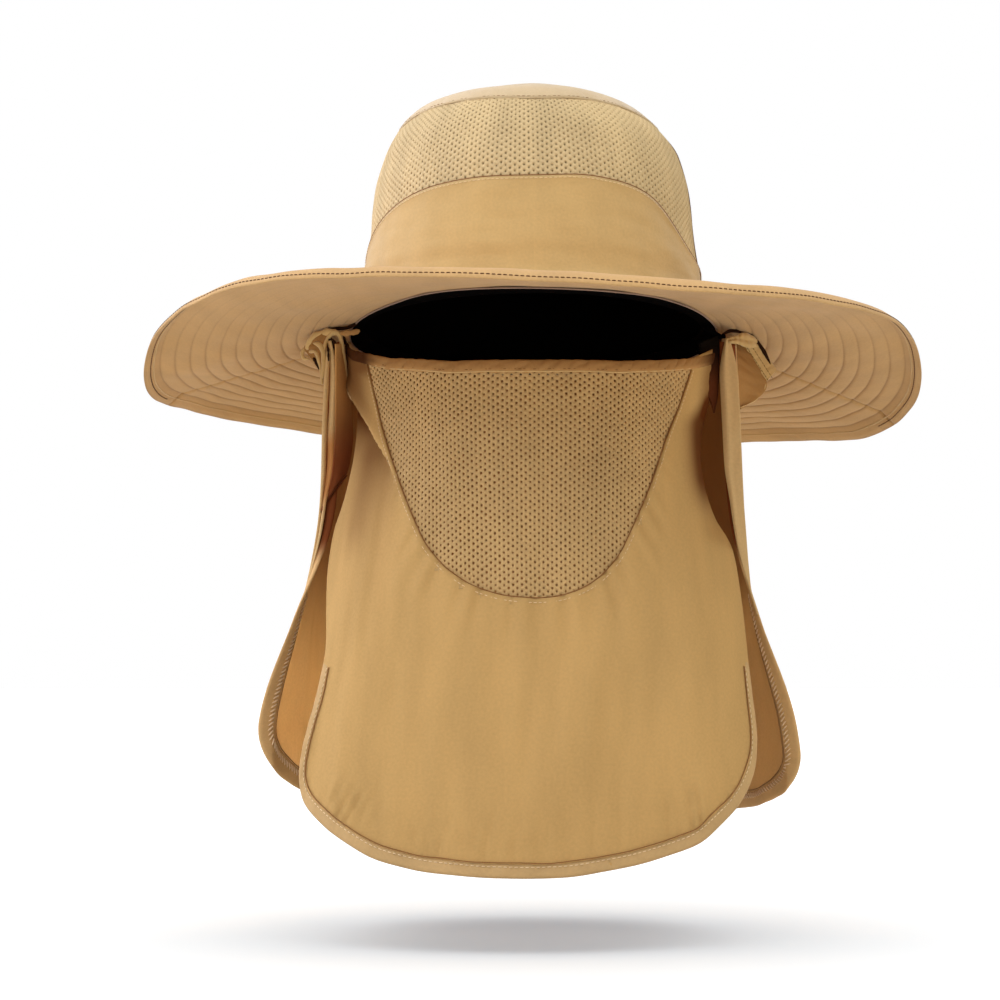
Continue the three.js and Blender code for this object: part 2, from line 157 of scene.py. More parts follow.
def through(values, place, closed=False):
    """A smooth line through evenly spaced values, at a place counted in steps."""
    place = np.asarray(place, float)
    table = np.stack([np.broadcast_to(v, place.shape) for v in values])
    count = len(values)
    whole = np.floor(place).astype(int)
    step = whole if closed else np.clip(whole, 0, count - 2)

    def pick(i):
        i = i % count if closed else np.clip(i, 0, count - 1)
        return np.take_along_axis(table, i[None], 0)[0]

    t = place - step
    a, b, c, d = pick(step - 1), pick(step), pick(step + 1), pick(step + 2)
    return b + 0.5 * t * (c - a + t * (2 * a - 5 * b + 4 * c - d + t * (3 * (b - c) + d - a)))


def all_round(values, turn):
    """A smooth closed line through values that are spread evenly round the hat."""
    return through(values, turn * len(values), True)


def columns_at(rows, place):
    """Each column of a table at a place counted in rows."""
    return [through(list(column), place) for column in np.array(rows, float).T]


def ripple(places, size, seed, waves=9):
    """Soft random hills, about size long, from a sum of waves; between about -1 and 1."""
    draw = np.random.RandomState(seed)
    total = 0
    for _ in range(waves):
        heading = draw.normal(size=len(places))
        heading *= 2 * pi / size * draw.uniform(0.6, 1.5) / np.linalg.norm(heading)
        total = total + np.sin(sum(h * p for h, p in zip(heading, places)) + draw.uniform(0, 2 * pi))
    return total / waves**0.5 / 1.4


def eased(places, values, ease):
    """A line through given points, as a function, with its corners rounded over about ease."""
    fine = np.linspace(places[0], places[-1], 1201)
    reach = max(1, int(round(ease / (fine[1] - fine[0]) / 2)))
    rough = np.pad(np.interp(fine, places, values), reach, mode="reflect", reflect_type="odd")
    window = np.hanning(2 * reach + 3)[1:-1]
    soft = np.convolve(rough, window / window.sum(), "valid")
    return lambda place: np.interp(place, fine, soft)


def drawn(points, ease):
    """An outline as a function of a share of its length and a distance inward, which is to its left."""
    points = np.array(points, float)
    length = run_of(points)
    across, up = (eased(length / length[-1], column, ease) for column in points.T)

    def at(turn, inset=0.0):
        step = 0.003
        run, rise = across(turn + step) - across(turn - step), up(turn + step) - up(turn - step)
        size = np.maximum(np.hypot(run, rise), 1e-9)
        return across(turn) - rise / size * inset, up(turn) + run / size * inset

    return at


def round_place(turn, radius, up=0.0):
    """A place on a cylinder, so that what is drawn from it meets itself all the way round."""
    return radius * np.cos(2 * pi * turn), radius * np.sin(2 * pi * turn), up


# Forms
fine_steps = np.linspace(0, len(CROWN_OUTLINE) - 1, 1701)
fine_heights, fine_shares = columns_at(CROWN_OUTLINE, fine_steps)
fine_arcs = run_of(joined(fine_heights, CROWN_HALF_WIDTH * fine_shares))
tip_seam_arc = float(np.interp(TIP_SEAM_STEP, fine_steps, fine_arcs))


def crown(turn, arc, out=0):
    """A point of the crown's cloth, at a turn from the front and a length up from its foot."""
    height, share = np.interp(arc, fine_arcs, fine_heights), np.interp(arc, fine_arcs, fine_shares)
    lean = CROWN_LEAN * (height / CROWN_HEIGHT) ** 6
    angle = 2 * pi * turn
    x = (CROWN_HALF_WIDTH * share + out) * np.sin(angle) - lean
    y = -(CROWN_HALF_DEPTH * share + out) * np.cos(angle)
    return joined(x, y, height + 0 * x)


def worn_crown(turn, arc, out=0.0):
    """The crown with the flatter slope that its upper right side has in wear."""
    points = crown(turn, arc, out)
    height = points[..., 2]
    on_slope = smooth(86, 108, height) * smooth(121, 113, height)
    points[..., 0] -= 3.2 * on_slope * np.clip(np.sin(2 * pi * turn), 0, 1)
    return points


def arc_at(height):
    return np.interp(height, fine_heights, fine_arcs)


def tip_seam(turn):
    return tip_seam_arc + all_round(TIP_SEAM_RISE, turn)


def band_seam(turn, below=0):
    return arc_at(all_round(BAND_SEAM, turn) - below)


def band_flare(arc):
    return 2.2 * smooth(6, 0, arc) - 1.2 * smooth(4, 10, arc) * smooth(26, 15, arc)


def brim(turn, share):
    angle = 2 * pi * turn
    half_width = mix(CROWN_HALF_WIDTH - BRIM_MARGIN, RIM_HALF_WIDTH, share)
    half_depth = mix(CROWN_HALF_DEPTH - BRIM_MARGIN, RIM_HALF_DEPTH, share)
    curl = np.maximum(0, (share - 1 + RIM_CURL_SHARE) / RIM_CURL_SHARE) ** 2 * RIM_CURL
    z = -BRIM_WALL / 2 - BRIM_GAP - all_round(RIM_DROP, turn) * share - curl
    return joined(half_width * np.sin(angle), -half_depth * np.cos(angle), z)


def under_brim(x, y):
    turn = np.arctan2(x / RIM_HALF_WIDTH, -y / RIM_HALF_DEPTH) / (2 * pi)
    inner, outer = (np.linalg.norm(brim(turn, 0 * turn + share)[..., :2], axis=-1) for share in (0, 1))
    share = np.clip((np.hypot(x, y) - inner) / (outer - inner), 0, 1)
    return brim(turn, share)[..., 2] - BRIM_WALL / 2 - QUILT_PUFF - BRIM_GAP


def mask(across, z):
    """A point of the mask: across runs from -1 to 1 between its side edges."""
    across, z = np.broadcast_arrays(np.asarray(across, float), np.asarray(z, float))
    level = (MASK_SECTIONS[0, 0] - z) / (MASK_SECTIONS[0, 0] - MASK_SECTIONS[1, 0])
    _, mid_x, front_y, cheek_x, cheek_y, fold_x, fold_y, edge_x, edge_y = columns_at(MASK_SECTIONS, level)
    side = 3 * np.abs(across) + 1
    x = mid_x + through([-cheek_x, 0 * z, cheek_x, fold_x, edge_x], side) * np.sign(across)
    y = through([cheek_y, front_y, cheek_y, fold_y, edge_y], side)
    return joined(x, y, z)


def flap(along, z):
    """A point of the neck flap: along runs from the middle of the back, in millimetres."""
    along, z = np.broadcast_arrays(np.asarray(along, float), np.asarray(z, float))
    level = (FLAP_SECTIONS[0, 0] - z) / (FLAP_SECTIONS[0, 0] - FLAP_SECTIONS[1, 0])
    _, back_y, hip_x, hip_y, side_x, side_y, knee_x, knee_y = columns_at(FLAP_SECTIONS, level)
    _, left_x, right_x, edge_y, hem_angle = columns_at(FLAP_EDGES, level)
    side = 4 * np.minimum(np.abs(along) / FLAP_HALF_LENGTH, 1)
    edge_x = np.where(along < 0, left_x, right_x)
    past = np.maximum(0, np.abs(along) - FLAP_HALF_LENGTH)
    angle = np.radians(hem_angle)
    x = through([-hip_x, 0 * z, hip_x, side_x, knee_x, edge_x], side + 1) + past * np.cos(angle)
    y = through([hip_y, back_y, hip_y, side_y, knee_y, edge_y], side + 1) - past * np.sin(angle)
    fall = np.clip(level / (len(FLAP_SECTIONS) - 1), 0, 1)
    deep = FLAP_FOLD_DEPTH * fall * (1 - (side / 4) ** 3)
    push = 1 + deep * np.cos(pi * FLAP_FOLDS * side / 4) / np.hypot(x, y)
    return joined(x * push * np.sign(along), y * push, z)


def worn_top(along):
    """The flap's upper edge, which lies lower under the folded corners than in the solids."""
    place = flap(along, FLAP_SECTIONS[0, 0])
    return under_brim(place[..., 0], place[..., 1]) - FLAP_WORN_DROP * smooth(180, 198, np.abs(along))


def corner_radius(side):
    return np.where(side < 0, FLAP_CORNER_LEFT, FLAP_CORNER_RIGHT)


def lowest(along):
    return FLAP_BOTTOM_Z + FLAP_LIFT_LEFT * smooth(-60, -150, along)


# How far the cloth near the flap's foot looks to be from its front edge, from where the photo was taken.
PHOTO_X, PHOTO_BACK = -16.5, 1568.6
FOOT_SEEN_Z = -232
edge_along = FLAP_HALF_LENGTH + FLAP_HEM
inward = np.linspace(0, 160, 641)
inward_seen = {}
for side in (-1, 1):
    foot = flap(side * (edge_along - inward), FOOT_SEEN_Z)
    seen = (foot[:, 0] - PHOTO_X) * PHOTO_BACK / (PHOTO_BACK + foot[:, 1])
    inward_seen[side] = np.maximum.accumulate(side * (seen[0] - seen)) + inward * 1e-6


def from_edge(along):
    inside = edge_along - np.abs(along)
    left, right = (np.interp(inside, inward, inward_seen[side]) for side in (-1, 1))
    return np.where(along < 0, left, right)


def along_at(seen, sign):
    left, right = (np.interp(seen, inward_seen[side], inward) for side in (-1, 1))
    return edge_along - np.where(sign < 0, left, right)


def flap_bottom(along, inset):
    whole = corner_radius(along)
    radius = whole - inset
    into = np.clip(whole - from_edge(along), 0, radius)
    return lowest(along) + whole - np.sqrt(radius * radius - into * into)


# Meshes
def grid_quads(rows, columns, closed=False):
    i, j = grid(np.arange(rows if closed else rows - 1), np.arange(columns - 1))
    here, beyond = i * columns + j, (i + 1) % rows * columns + j
    return joined(here, beyond, beyond + 1, here + 1).reshape(-1, 4)


def slopes(points, closed=False):
    if closed:
        return np.roll(points, -1, 0) - np.roll(points, 1, 0)
    return np.gradient(points, axis=0)


def make(name, points, quads, coords, material, nodes=(), wrap=0.0, marks=None):
    """A shown piece from its points, quads and the flat coordinates of its cloth, in mm.
    A closed ring's coordinates start again after wrap. marks is 0 to 1 a point, for the material."""
    made = bpy.data.meshes.new(name)
    made.vertices.add(len(points))
    made.vertices.foreach_set("co", (np.asarray(points) * MM).ravel())
    made.loops.add(quads.size)
    made.loops.foreach_set("vertex_index", quads.ravel().astype(np.int32))
    made.polygons.add(len(quads))
    made.polygons.foreach_set("loop_start", np.arange(0, quads.size, 4, dtype=np.int32))
    made.update(calc_edges=True)
    corners = np.asarray(coords, float)[quads]
    if wrap:
        most = corners[..., 0].max(1, keepdims=True)
        corners[..., 0] += wrap * (corners[..., 0] < most - wrap / 2)
    made.uv_layers.new(name="UVMap").data.foreach_set("uv", corners.astype(np.float32).ravel())
    if marks is not None:
        layer = made.attributes.new("marks", "FLOAT", "POINT")
        layer.data.foreach_set("value", marks.astype(np.float32))
    made.validate()
    made.shade_smooth()
    made.materials.append(material)
    piece = bpy.data.objects.new(name, made)
    bpy.context.scene.collection.objects.link(piece)
    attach(piece, "root")
    if nodes:
        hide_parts(*nodes)
    return piece


def slab(points, quads, normals, front, back):
    """A closed wall: each point is moved out by front and in by back along its normal."""
    count = len(points)
    outer = points + normals * np.broadcast_to(front, count)[:, None]
    inner = points - normals * np.broadcast_to(back, count)[:, None]
    a, b = quads.ravel(), np.roll(quads, -1, 1).ravel()
    edge = ~np.isin(a.astype(np.int64) * count + b, b.astype(np.int64) * count + a)
    a, b = a[edge], b[edge]
    every = [quads, quads[:, ::-1] + count, joined(b, a, a + count, b + count)]
    return np.concatenate([outer, inner]), np.concatenate(every)


def cloth(name, points, coords, front, back, material, nodes=(), wrap=0.0, marks=None, marks_behind=None,
          normals=None):
    """A piece of cloth from a grid of points and its flat coordinates. front and back may be grids."""
    rows, columns = points.shape[:2]
    quads = grid_quads(rows, columns, wrap > 0)
    if normals is None:
        normals = unit(np.cross(slopes(points, wrap > 0), np.gradient(points, axis=1)))
    else:
        quads = quads[:, ::-1]
    front, back = (np.broadcast_to(wall, (rows, columns)).ravel() for wall in (front, back))
    body, every = slab(points.reshape(-1, 3), quads, normals.reshape(-1, 3), front, back)
    both = np.concatenate([joined(*coords).reshape(-1, 2)] * 2)
    if marks is not None:
        marks = np.concatenate([marks.ravel(), (marks if marks_behind is None else marks_behind).ravel()])
    return make(name, body, every, both, material, nodes, wrap, marks)


def frames(path, ups, closed=False):
    """At each point of a path: the way along it, the way up and the way across."""
    along = unit(slopes(path, closed))
    ups = unit(ups - along * (ups * along).sum(-1, keepdims=True))
    return along, ups, np.cross(along, ups)


END_CLOSED = 0.98


def tube(name, path, ups, half_width, half_height, material, closed=False, sides=8):
    """A cord or rolled edge along a path: an oval of the given half sizes, closed at its ends."""
    _, ups, over = frames(path, np.broadcast_to(ups, path.shape), closed)
    angles = ring(sides) * 2 * pi
    wide, high = (np.broadcast_to(half, len(path))[:, None, None] for half in (half_width, half_height))
    rings = path[:, None] + over[:, None] * wide * np.cos(angles)[None, :, None]
    rings = rings + ups[:, None] * high * np.sin(angles)[None, :, None]
    if not closed:
        first, last = mix(rings[:1], path[0], END_CLOSED), mix(rings[-1:], path[-1], END_CLOSED)
        rings = np.concatenate([first, rings, last])
    quads = grid_quads(len(rings), sides + 1, closed)
    quads = (quads // (sides + 1)) * sides + (quads % (sides + 1)) % sides
    length = run_of(rings[:, 0])
    coords = np.stack(np.broadcast_arrays(length[:, None], angles[None] * np.mean(half_width)), -1)
    return make(name, rings.reshape(-1, 3), quads[:, ::-1], coords.reshape(-1, 2), material)


STITCH_RINGS = np.array([-1, -0.6, 0.6, 1])
STITCH_SWELL = np.array([0.3, 1, 1, 0.3])
STITCH_SINK = 0.7


def stitches(name, path, ups, material, pitch=2.6, length=1.9, radius=0.22, lift=0.1, slant=0.0,
             closed=False):
    """A row of thread stitches that lie on a surface, along a path with the surface's normals."""
    ups = np.broadcast_to(ups, path.shape)
    if closed:
        path, ups = (np.concatenate([row, row[:1]]) for row in (path, ups))
    run = run_of(path)
    count = max(2, int(round(run[-1] / pitch)))
    spots = (np.arange(count) + 0.5) * run[-1] / count
    spots, rises = (joined(*(np.interp(spots, run, k) for k in row.T)) for row in (path, ups))
    along, rises, over = frames(spots, rises, closed)
    lean = along * cos(radians(slant)) + over * sin(radians(slant))
    side = np.cross(rises, lean)
    centre = spots[:, None] + lean[:, None] * (STITCH_RINGS * length / 2)[None, :, None]
    centre = centre + rises[:, None] * (lift - STITCH_SINK * radius * STITCH_RINGS**4)[None, :, None]
    angles = np.arange(4) * pi / 2 + pi / 4
    swell = radius * STITCH_SWELL[None, :, None, None]
    rings = centre[:, :, None] + side[:, None, None] * swell * np.cos(angles)[None, None, :, None]
    rings = rings + rises[:, None, None] * swell * np.sin(angles)[None, None, :, None]
    turns = len(STITCH_RINGS)
    one = grid_quads(turns, 5)
    one = (one // 5) * 4 + (one % 5) % 4
    caps = np.array([[0, 1, 2, 3], [4 * turns - 1, 4 * turns - 2, 4 * turns - 3, 4 * turns - 4]])
    one = np.concatenate([one[:, ::-1], caps[:, ::-1]])
    every = (one[None] + (np.arange(count) * 4 * turns)[:, None, None]).reshape(-1, 4)
    lengths = STITCH_RINGS[None, :, None] * length
    coords = np.stack(np.broadcast_arrays(lengths, angles[None, None] + 0 * rings[..., 0]), -1)
    return make(name, rings.reshape(-1, 3), every, coords.reshape(-1, 2), material)


# Materials
WEAVE_DEPTH = 0.04
WAVE_PERIOD = 0.314
PAINTED_SHADE_SHINE = 0.04


def linear(color):
    levels = [c / 255 for c in color]
    return [c / 12.92 if c <= 0.04045 else ((c + 0.055) / 1.055) ** 2.4 for c in levels] + [1]


def cleared(block):
    """The node tree of a material or a world, emptied."""
    block.use_nodes = True
    block.node_tree.nodes.clear()
    return block.node_tree


def add_node(tree, kind, inputs=None, **settings):
    """A shader node with its settings, and a value or a link for each input that is named."""
    node = tree.nodes.new("ShaderNode" + kind)
    for key, value in settings.items():
        setattr(node, key, value)
    for key, value in (inputs or {}).items():
        if isinstance(value, bpy.types.NodeSocket):
            tree.links.new(value, node.inputs[key])
        else:
            node.inputs[key].default_value = value
    return node


def woven(name, color, crease=(0.12, 9), weave=0.55, mottle=0.035, rough=0.85, sheen=0.05,
          through_light=0.0, rows=0.0, shade_color=None, shine=0.12):
    """Thin plain-woven cloth: fine threads, creases of a depth and size, and slightly uneven colour.
    With rows, lines of stitching run along it, that far apart, with painted shade in a groove beside each.
    Given a colour of painted shade, the cloth turns to it as far as the piece's marks say."""
    if shade_color:
        sheen, shine = 0, PAINTED_SHADE_SHINE
    material = bpy.data.materials.new(name)
    tree = cleared(material)

    def add(kind, inputs=None, **settings):
        return add_node(tree, kind, inputs, **settings)

    def maths(kind, a, b):
        return add("Math", {0: a, 1: b}, operation=kind).outputs[0]

    place = add("UVMap", uv_map="UVMap").outputs[0]
    hung = add("Mapping", {"Vector": place, "Scale": (1, 0.3, 1)}).outputs[0]

    def noise(scale, detail, source=place):
        inputs = {"Vector": source, "Scale": scale, "Detail": detail}
        return add("TexNoise", inputs, noise_dimensions="2D").outputs[0]

    def wave(direction):
        inputs = {"Vector": place, "Scale": WAVE_PERIOD / weave, "Distortion": 0.6, "Detail": 1}
        return add("TexWave", inputs, bands_direction=direction).outputs[1]

    threads = maths("MULTIPLY", wave("X"), wave("Y"))
    uneven = maths("ADD", maths("MULTIPLY", noise(0.05, 3, hung), 0.6), maths("MULTIPLY", noise(0.7, 2), 0.4))
    ramp = add("ValToRGB", {0: uneven})
    for stop, spot, turn in zip(ramp.color_ramp.elements, (0.3, 0.7), (1, -1)):
        stop.position, stop.color = spot, linear([c * (1 - mottle * turn) for c in color])
    tint = ramp.outputs[0]

    def blended(factor, other):
        inputs = {"Factor": factor, "A": tint, "B": linear(other)}
        return add("Mix", inputs, data_type="RGBA").outputs["Result"]

    if rows or shade_color:
        marks = add("Attribute", attribute_name="marks").outputs["Fac"]
    # Each row is a dash of darker stitching thread and a darkening in its groove, which is painted shade;
    # both fade where the marks are low.
    if rows:
        apart = add("SeparateXYZ", {0: place}).outputs
        from_row = maths("PINGPONG", apart[1], rows / 2)
        dash = maths("LESS_THAN", maths("PINGPONG", apart[0], 1.3), 0.9)
        thread = maths("MULTIPLY", maths("LESS_THAN", from_row, 0.28), dash)
        groove_shade = maths("MAXIMUM", maths("SUBTRACT", 1, maths("DIVIDE", from_row, 1.1)), 0)
        mark = maths("ADD", maths("MULTIPLY", thread, 0.2), maths("MULTIPLY", groove_shade, 0.3))
        tint = blended(maths("MULTIPLY", mark, marks), [c * k for c, k in zip(color, (0.6, 0.5, 0.36))])
    # Painted shade: the colour turns towards the given darker one as far as the marks say.
    if shade_color:
        tint = blended(marks, shade_color)
    fine = add("Bump", {"Distance": WEAVE_DEPTH * MM, "Height": threads}).outputs[0]
    folds = add("Bump", {"Distance": crease[0] * MM, "Height": noise(1 / crease[1], 4), "Normal": fine})
    shader = add("BsdfPrincipled", {
        "Base Color": tint, "Roughness": rough, "Specular IOR Level": shine, "Sheen Weight": sheen,
        "Sheen Roughness": 0.45, "Normal": folds.outputs[0]}).outputs[0]
    if through_light:
        glow = add("BsdfTranslucent", {0: tint}).outputs[0]
        shader = add("MixShader", {0: through_light, 1: shader, 2: glow}).outputs[0]
    add("OutputMaterial", {0: shader})
    return material


def thread(name, color, rough=0.7):
    return woven(name, color, (0.05, 1), weave=0.3, rough=rough)


QUILT_PITCH = BRIM_WIDTH / QUILT_ROWS
# The second colour given to some cloths below is painted shade, laid on by each piece's marks. The flap_shade
# and cone cloths are darker copies of the flap's cloth: painted shade as well.
SAND = woven("sand_cloth", (203, 168, 109), (0.22, 7), sheen=0.35)
# The tip's cloth is the sand cloth made paler and greyer: painted light, where the light from above falls on
# it.
LIT_TIP = woven("lit_tip_cloth", (204, 178, 136), (0.22, 7), sheen=0.35)
BRIM = woven("brim_cloth", (199, 159, 105), (0.1, 5), rows=QUILT_PITCH, sheen=0.12)
MASK = woven("mask_cloth", (211, 170, 107), (0.25, 11), through_light=0.15,
             shade_color=(104, 54, 20))
FLAP = woven("flap_cloth", (246, 212, 154), (0.5, 12), through_light=0.5, shade_color=(122, 70, 32))
FLAP_SHADE = woven("flap_shade", (212, 160, 96), (0.2, 8), shade_color=(132, 68, 38))
STRIP = woven("strip_cloth", (213, 178, 124), (0.2, 5), shade_color=(190, 130, 74))
HEM = woven("hem_cloth", (222, 180, 122), (0.12, 4), shade_color=(124, 66, 34))
MASK_HEM_CLOTH = woven("mask_hem_cloth", (199, 163, 111), (0.12, 4))
# The casing's cloth, also used for the tongue at the left corner, is darker than the mask's: painted shade
# under the brim.
SHADED_CASING = woven("casing_cloth", (184, 138, 84), (0.2, 3), shade_color=(72, 40, 18))
CONE = woven("cone_cloth", (196, 150, 92), (0.2, 6), shade_color=(132, 88, 44))
NET = woven("crown_net", (208, 181, 133), (0.08, 2.5), weave=0.4, mottle=0.06)
NET_BACK = woven("net_backing", (176, 146, 94), (0.1, 4))
MASK_NET = woven("mask_net", (196, 160, 106), (0.08, 2.5), weave=0.4, mottle=0.06)
BLACK = woven("black_lining", (4, 3, 3), (0.1, 9), rough=1.0, sheen=0, shine=0.02)
BINDING = woven("opening_binding", (152, 126, 108), (0.1, 3))
# The next two are dark cloths of painted shade, for pieces laid where the hat has only shade between folds;
# the second turns darker still as far as its marks say.
SHADE = woven("shaded_fold", (44, 24, 12), (0.2, 3), sheen=0, shine=0.05)
DEEP_SHADE = woven("deep_fold_shade", (84, 42, 20), (0.2, 3), shade_color=(12, 6, 3))
THREAD = thread("thread", (244, 218, 172), 0.6)
OVERLOCK = thread("overlock_thread", (250, 218, 172), 0.6)
BROWN_THREAD = thread("brown_thread", (146, 100, 56))
DARK_THREAD = thread("dark_thread", (98, 62, 32))

# Crown
CROWN_COLUMNS = 224
CROWN_NET_STEP = (2.4, 3.2)
CROWN_NET_HOLE = (0.47, 0.54)
MASK_NET_STEP = (1.92, 3.1)
MASK_NET_HOLE = (0.5, 0.6)
NET_WALL = 0.7
NET_HOLE_SUNK = 0.12
KEY_STEP = 100000
CLOTH_RADIUS = 85
LEFT_SEAM_TURN = -0.262
RIGHT_SEAM_TURN = 0.222
crown_girth = CROWN_COLUMNS * CROWN_NET_STEP[0]


def net(name, surface, columns, rows, keep, step, hole, material, nodes):
    """An airy knit: round holes in columns, each column half a step off the one beside it."""
    i, j = (k.ravel() for k in grid(columns, rows))
    centre = joined(i * step[0], (j + 0.5 * (i % 2)) * step[1])
    kept = keep(centre)
    i, j, centre = i[kept], j[kept], centre[kept]
    around = np.array([(-1, -1), (0, -1), (1, -1), (1, 0), (1, 1), (0, 1), (-1, 1), (-1, 0)])
    keys = (joined(2 * i, 2 * j + i % 2)[:, None] + around[None]).reshape(-1, 2)
    low = keys.min(0)
    code = (keys[:, 0] - low[0]) * KEY_STEP + (keys[:, 1] - low[1])
    lattice, index = np.unique(code, return_inverse=True)
    index = index.reshape(-1, 8)
    outer = joined(lattice // KEY_STEP + low[0], lattice % KEY_STEP + low[1]) * np.array(step) / 2
    turn = np.arctan2(around[:, 1] * step[1], around[:, 0] * step[0])
    shape = joined(hole[0] * np.cos(turn), hole[1] * np.sin(turn))
    draw = np.random.RandomState(7)
    size = 1 + 0.16 * draw.uniform(-1, 1, (len(centre), 1, 1))
    shift = 0.09 * draw.uniform(-1, 1, (len(centre), 1, 2))
    inner = centre[:, None] + shape[None] * size + shift
    hole_ring = len(outer) + np.arange(len(centre) * 8).reshape(-1, 8)
    after = np.roll(np.arange(8), -1)
    quads = joined(index, index[:, after], hole_ring[:, after], hole_ring).reshape(-1, 4)
    places = np.concatenate([outer, inner.reshape(-1, 2)])
    u, v = places.T
    nudge = 0.05
    along = surface(u + nudge, v) - surface(u - nudge, v)
    normals = unit(np.cross(along, surface(u, v + nudge) - surface(u, v - nudge)))
    front = np.full(len(places), NET_WALL / 2)
    front[len(outer):] -= NET_HOLE_SUNK
    body, every = slab(surface(u, v), quads, normals, front, front)
    return make(name, body, every, np.concatenate([places, places]), material, nodes)


def crown_keep(centre):
    turn = centre[:, 0] / crown_girth
    return (centre[:, 1] > band_seam(turn) - 4) & (centre[:, 1] < tip_seam(turn))


def crown_net_surface(u, v):
    turn = u / crown_girth
    dent = 0.35 * ripple(round_place(turn, CLOTH_RADIUS, v), 22, 3)
    covered = smooth(0.3, -1.3, v - band_seam(turn))
    return worn_crown(turn, v, -0.35 + dent - 0.9 * covered)


quarter = int(round(-LEFT_SEAM_TURN * CROWN_COLUMNS))
net_rows = np.arange(4, int(tip_seam_arc / CROWN_NET_STEP[1]) + 3)
for part, first, last in (("front", -quarter, quarter + 1), ("back", quarter + 1, CROWN_COLUMNS - quarter)):
    net(f"crown_net_{part}", crown_net_surface, np.arange(first, last), net_rows, crown_keep, CROWN_NET_STEP,
        CROWN_NET_HOLE, NET, ["crown_mesh"])


def crown_grid(arcs, out):
    turn, arc = grid(ring(180), arcs)
    return worn_crown(turn, arc, out), (turn * crown_girth, arc)


points, coords = crown_grid(np.linspace(arc_at(17), tip_seam_arc + 6, 24), -1.35)
cloth("crown_net_backing", points, coords, 0.25, 0.3, NET_BACK, ["crown_mesh"], wrap=crown_girth)

# The band's upper edge is a rolled seam that stands a little proud of the airy panel.
turn, share = grid(ring(260), shares(26))
arc = mix(0.2, band_seam(turn) - 0.2, share)
wave = 0.35 * ripple(round_place(turn, CLOTH_RADIUS, arc), 26, 11)
wave = wave + 0.22 * ripple(round_place(turn, 34, arc * 1.6), 9, 12)
pucker = smooth(0.14, 0, share) * 0.5 * ripple(round_place(turn, CLOTH_RADIUS), 7, 13)
roll = 0.225 * smooth(0.93, 0.98, share)
points = crown(turn, arc, (wave + pucker) * smooth(1, 0.9, share) + roll + band_flare(arc))
cloth("crown_band_cloth", points, (turn * crown_girth, arc), CROWN_CLOTH_HALF, CROWN_CLOTH_HALF, SAND,
      ["crown_band"], wrap=crown_girth)
spots = ring(720)
edge = crown(spots, band_seam(spots), 0.7)
outward = edge * [1, 1, 0]
tube("crown_band_piping", edge, outward, 0.26, 0.35, BROWN_THREAD, closed=True, sides=6)
edge = crown(spots, band_seam(spots, 1.6), 0.95)
stitches("crown_band_stitches", edge, outward, THREAD, pitch=2.4, length=1.7, radius=0.15, closed=True)

# The tip's cloth bulges over its seam, and is gathered there in small puckers.
tip_arc = fine_arcs[-1]
p, q = grid(np.linspace(-1, 1, 77), np.linspace(-1, 1, 77))
x, y = p * np.sqrt(1 - q * q / 2), q * np.sqrt(1 - p * p / 2)
far = np.hypot(x, y)
turn = np.arctan2(x, -y) / (2 * pi)
arc = mix(tip_arc, tip_seam(turn) - 0.4, far)
gather = np.abs(ripple(round_place(turn, 70), 7, 21)) * smooth(0.8, 0.97, far) * smooth(1.02, 0.98, far)
swell = 0.9 * np.sin(pi * np.clip((far - 0.72) / 0.28, 0, 1)) ** 0.8
soft = 0.7 * ripple((x * 70, y * 70), 38, 22) * smooth(1, 0.85, far)
points = worn_crown(turn, arc, 0.35 + swell - 0.9 * gather)
points[..., 2] += soft * smooth(0.95, 0.5, far)
cloth("crown_tip_cloth", points, (x * 75, y * 75), CROWN_CLOTH_HALF, CROWN_CLOTH_HALF, LIT_TIP, ["crown_tip"])
spots = ring(600)
edge = worn_crown(spots, tip_seam(spots) - 0.3, 0.3)
tube("crown_tip_piping", edge, edge * [1, 1, 0], 0.4, 0.4, LIT_TIP, closed=True, sides=6)
edge = worn_crown(spots, tip_seam(spots) + 1.2, 1.0)
stitches("crown_tip_stitches", edge, edge * [1, 1, 0], BROWN_THREAD, length=1.8, radius=0.15, closed=True)

for name, turn in (("right", RIGHT_SEAM_TURN), ("left", LEFT_SEAM_TURN)):
    arcs = np.linspace(1, tip_seam_arc, 60)
    on_band = smooth(1.5, -1.5, arcs - band_seam(turn))
    seam = worn_crown(np.full(60, turn), arcs, mix(0.05, 0.75 + band_flare(arcs), on_band))
    tube(f"crown_side_seam_{name}", seam, seam * [1, 1, 0], 0.4, 0.4, DARK_THREAD)

# Black lining: the sweatband stands inside the foot, and the lining closes the crown above it.
below = np.array([-2.4, -1.2])
points, coords = crown_grid(np.linspace(0.3, arc_at(SWEATBAND_HEIGHT), 18), -1.7)
foot = np.repeat(points[:, :1], len(below), 1)
foot[..., 2] = below
points = np.concatenate([foot, points], 1)
u, v = coords
coords = np.concatenate([u[:, :1] + 0 * below, u], 1), np.concatenate([0 * u[:, :1] + below, v], 1)
cloth("sweatband_cloth", points, coords, -0.2, 1.0, BLACK, ["sweatband"], wrap=crown_girth)
x, y, far = (k[::2, ::2] for k in (x, y, far))
arc = mix(tip_arc, arc_at(SWEATBAND_HEIGHT - 6), far)
points = worn_crown(np.arctan2(x, -y) / (2 * pi), arc, -3.6)
points[..., 2] -= 2.5 * smooth(0.8, 0.3, far)
cloth("crown_lining", points, (x * 90, y * 90), 0.3, 0.3, BLACK, ["sweatband"])

# Brim
BRIM_HALF_WALL = 0.75
RIM_TOP_STITCHES = 0.985
RIM_UNDER_STITCHES = 0.978
RIM_HEM_EDGE = 0.962
ROW_STEPS = [0, 0.05, 0.12, 0.25, 0.5, 0.75, 0.88, 0.95]
RIM_STEPS = [0, 0.1, 0.3, 0.55, 0.72, 0.84, 0.93, 0.98, 1]


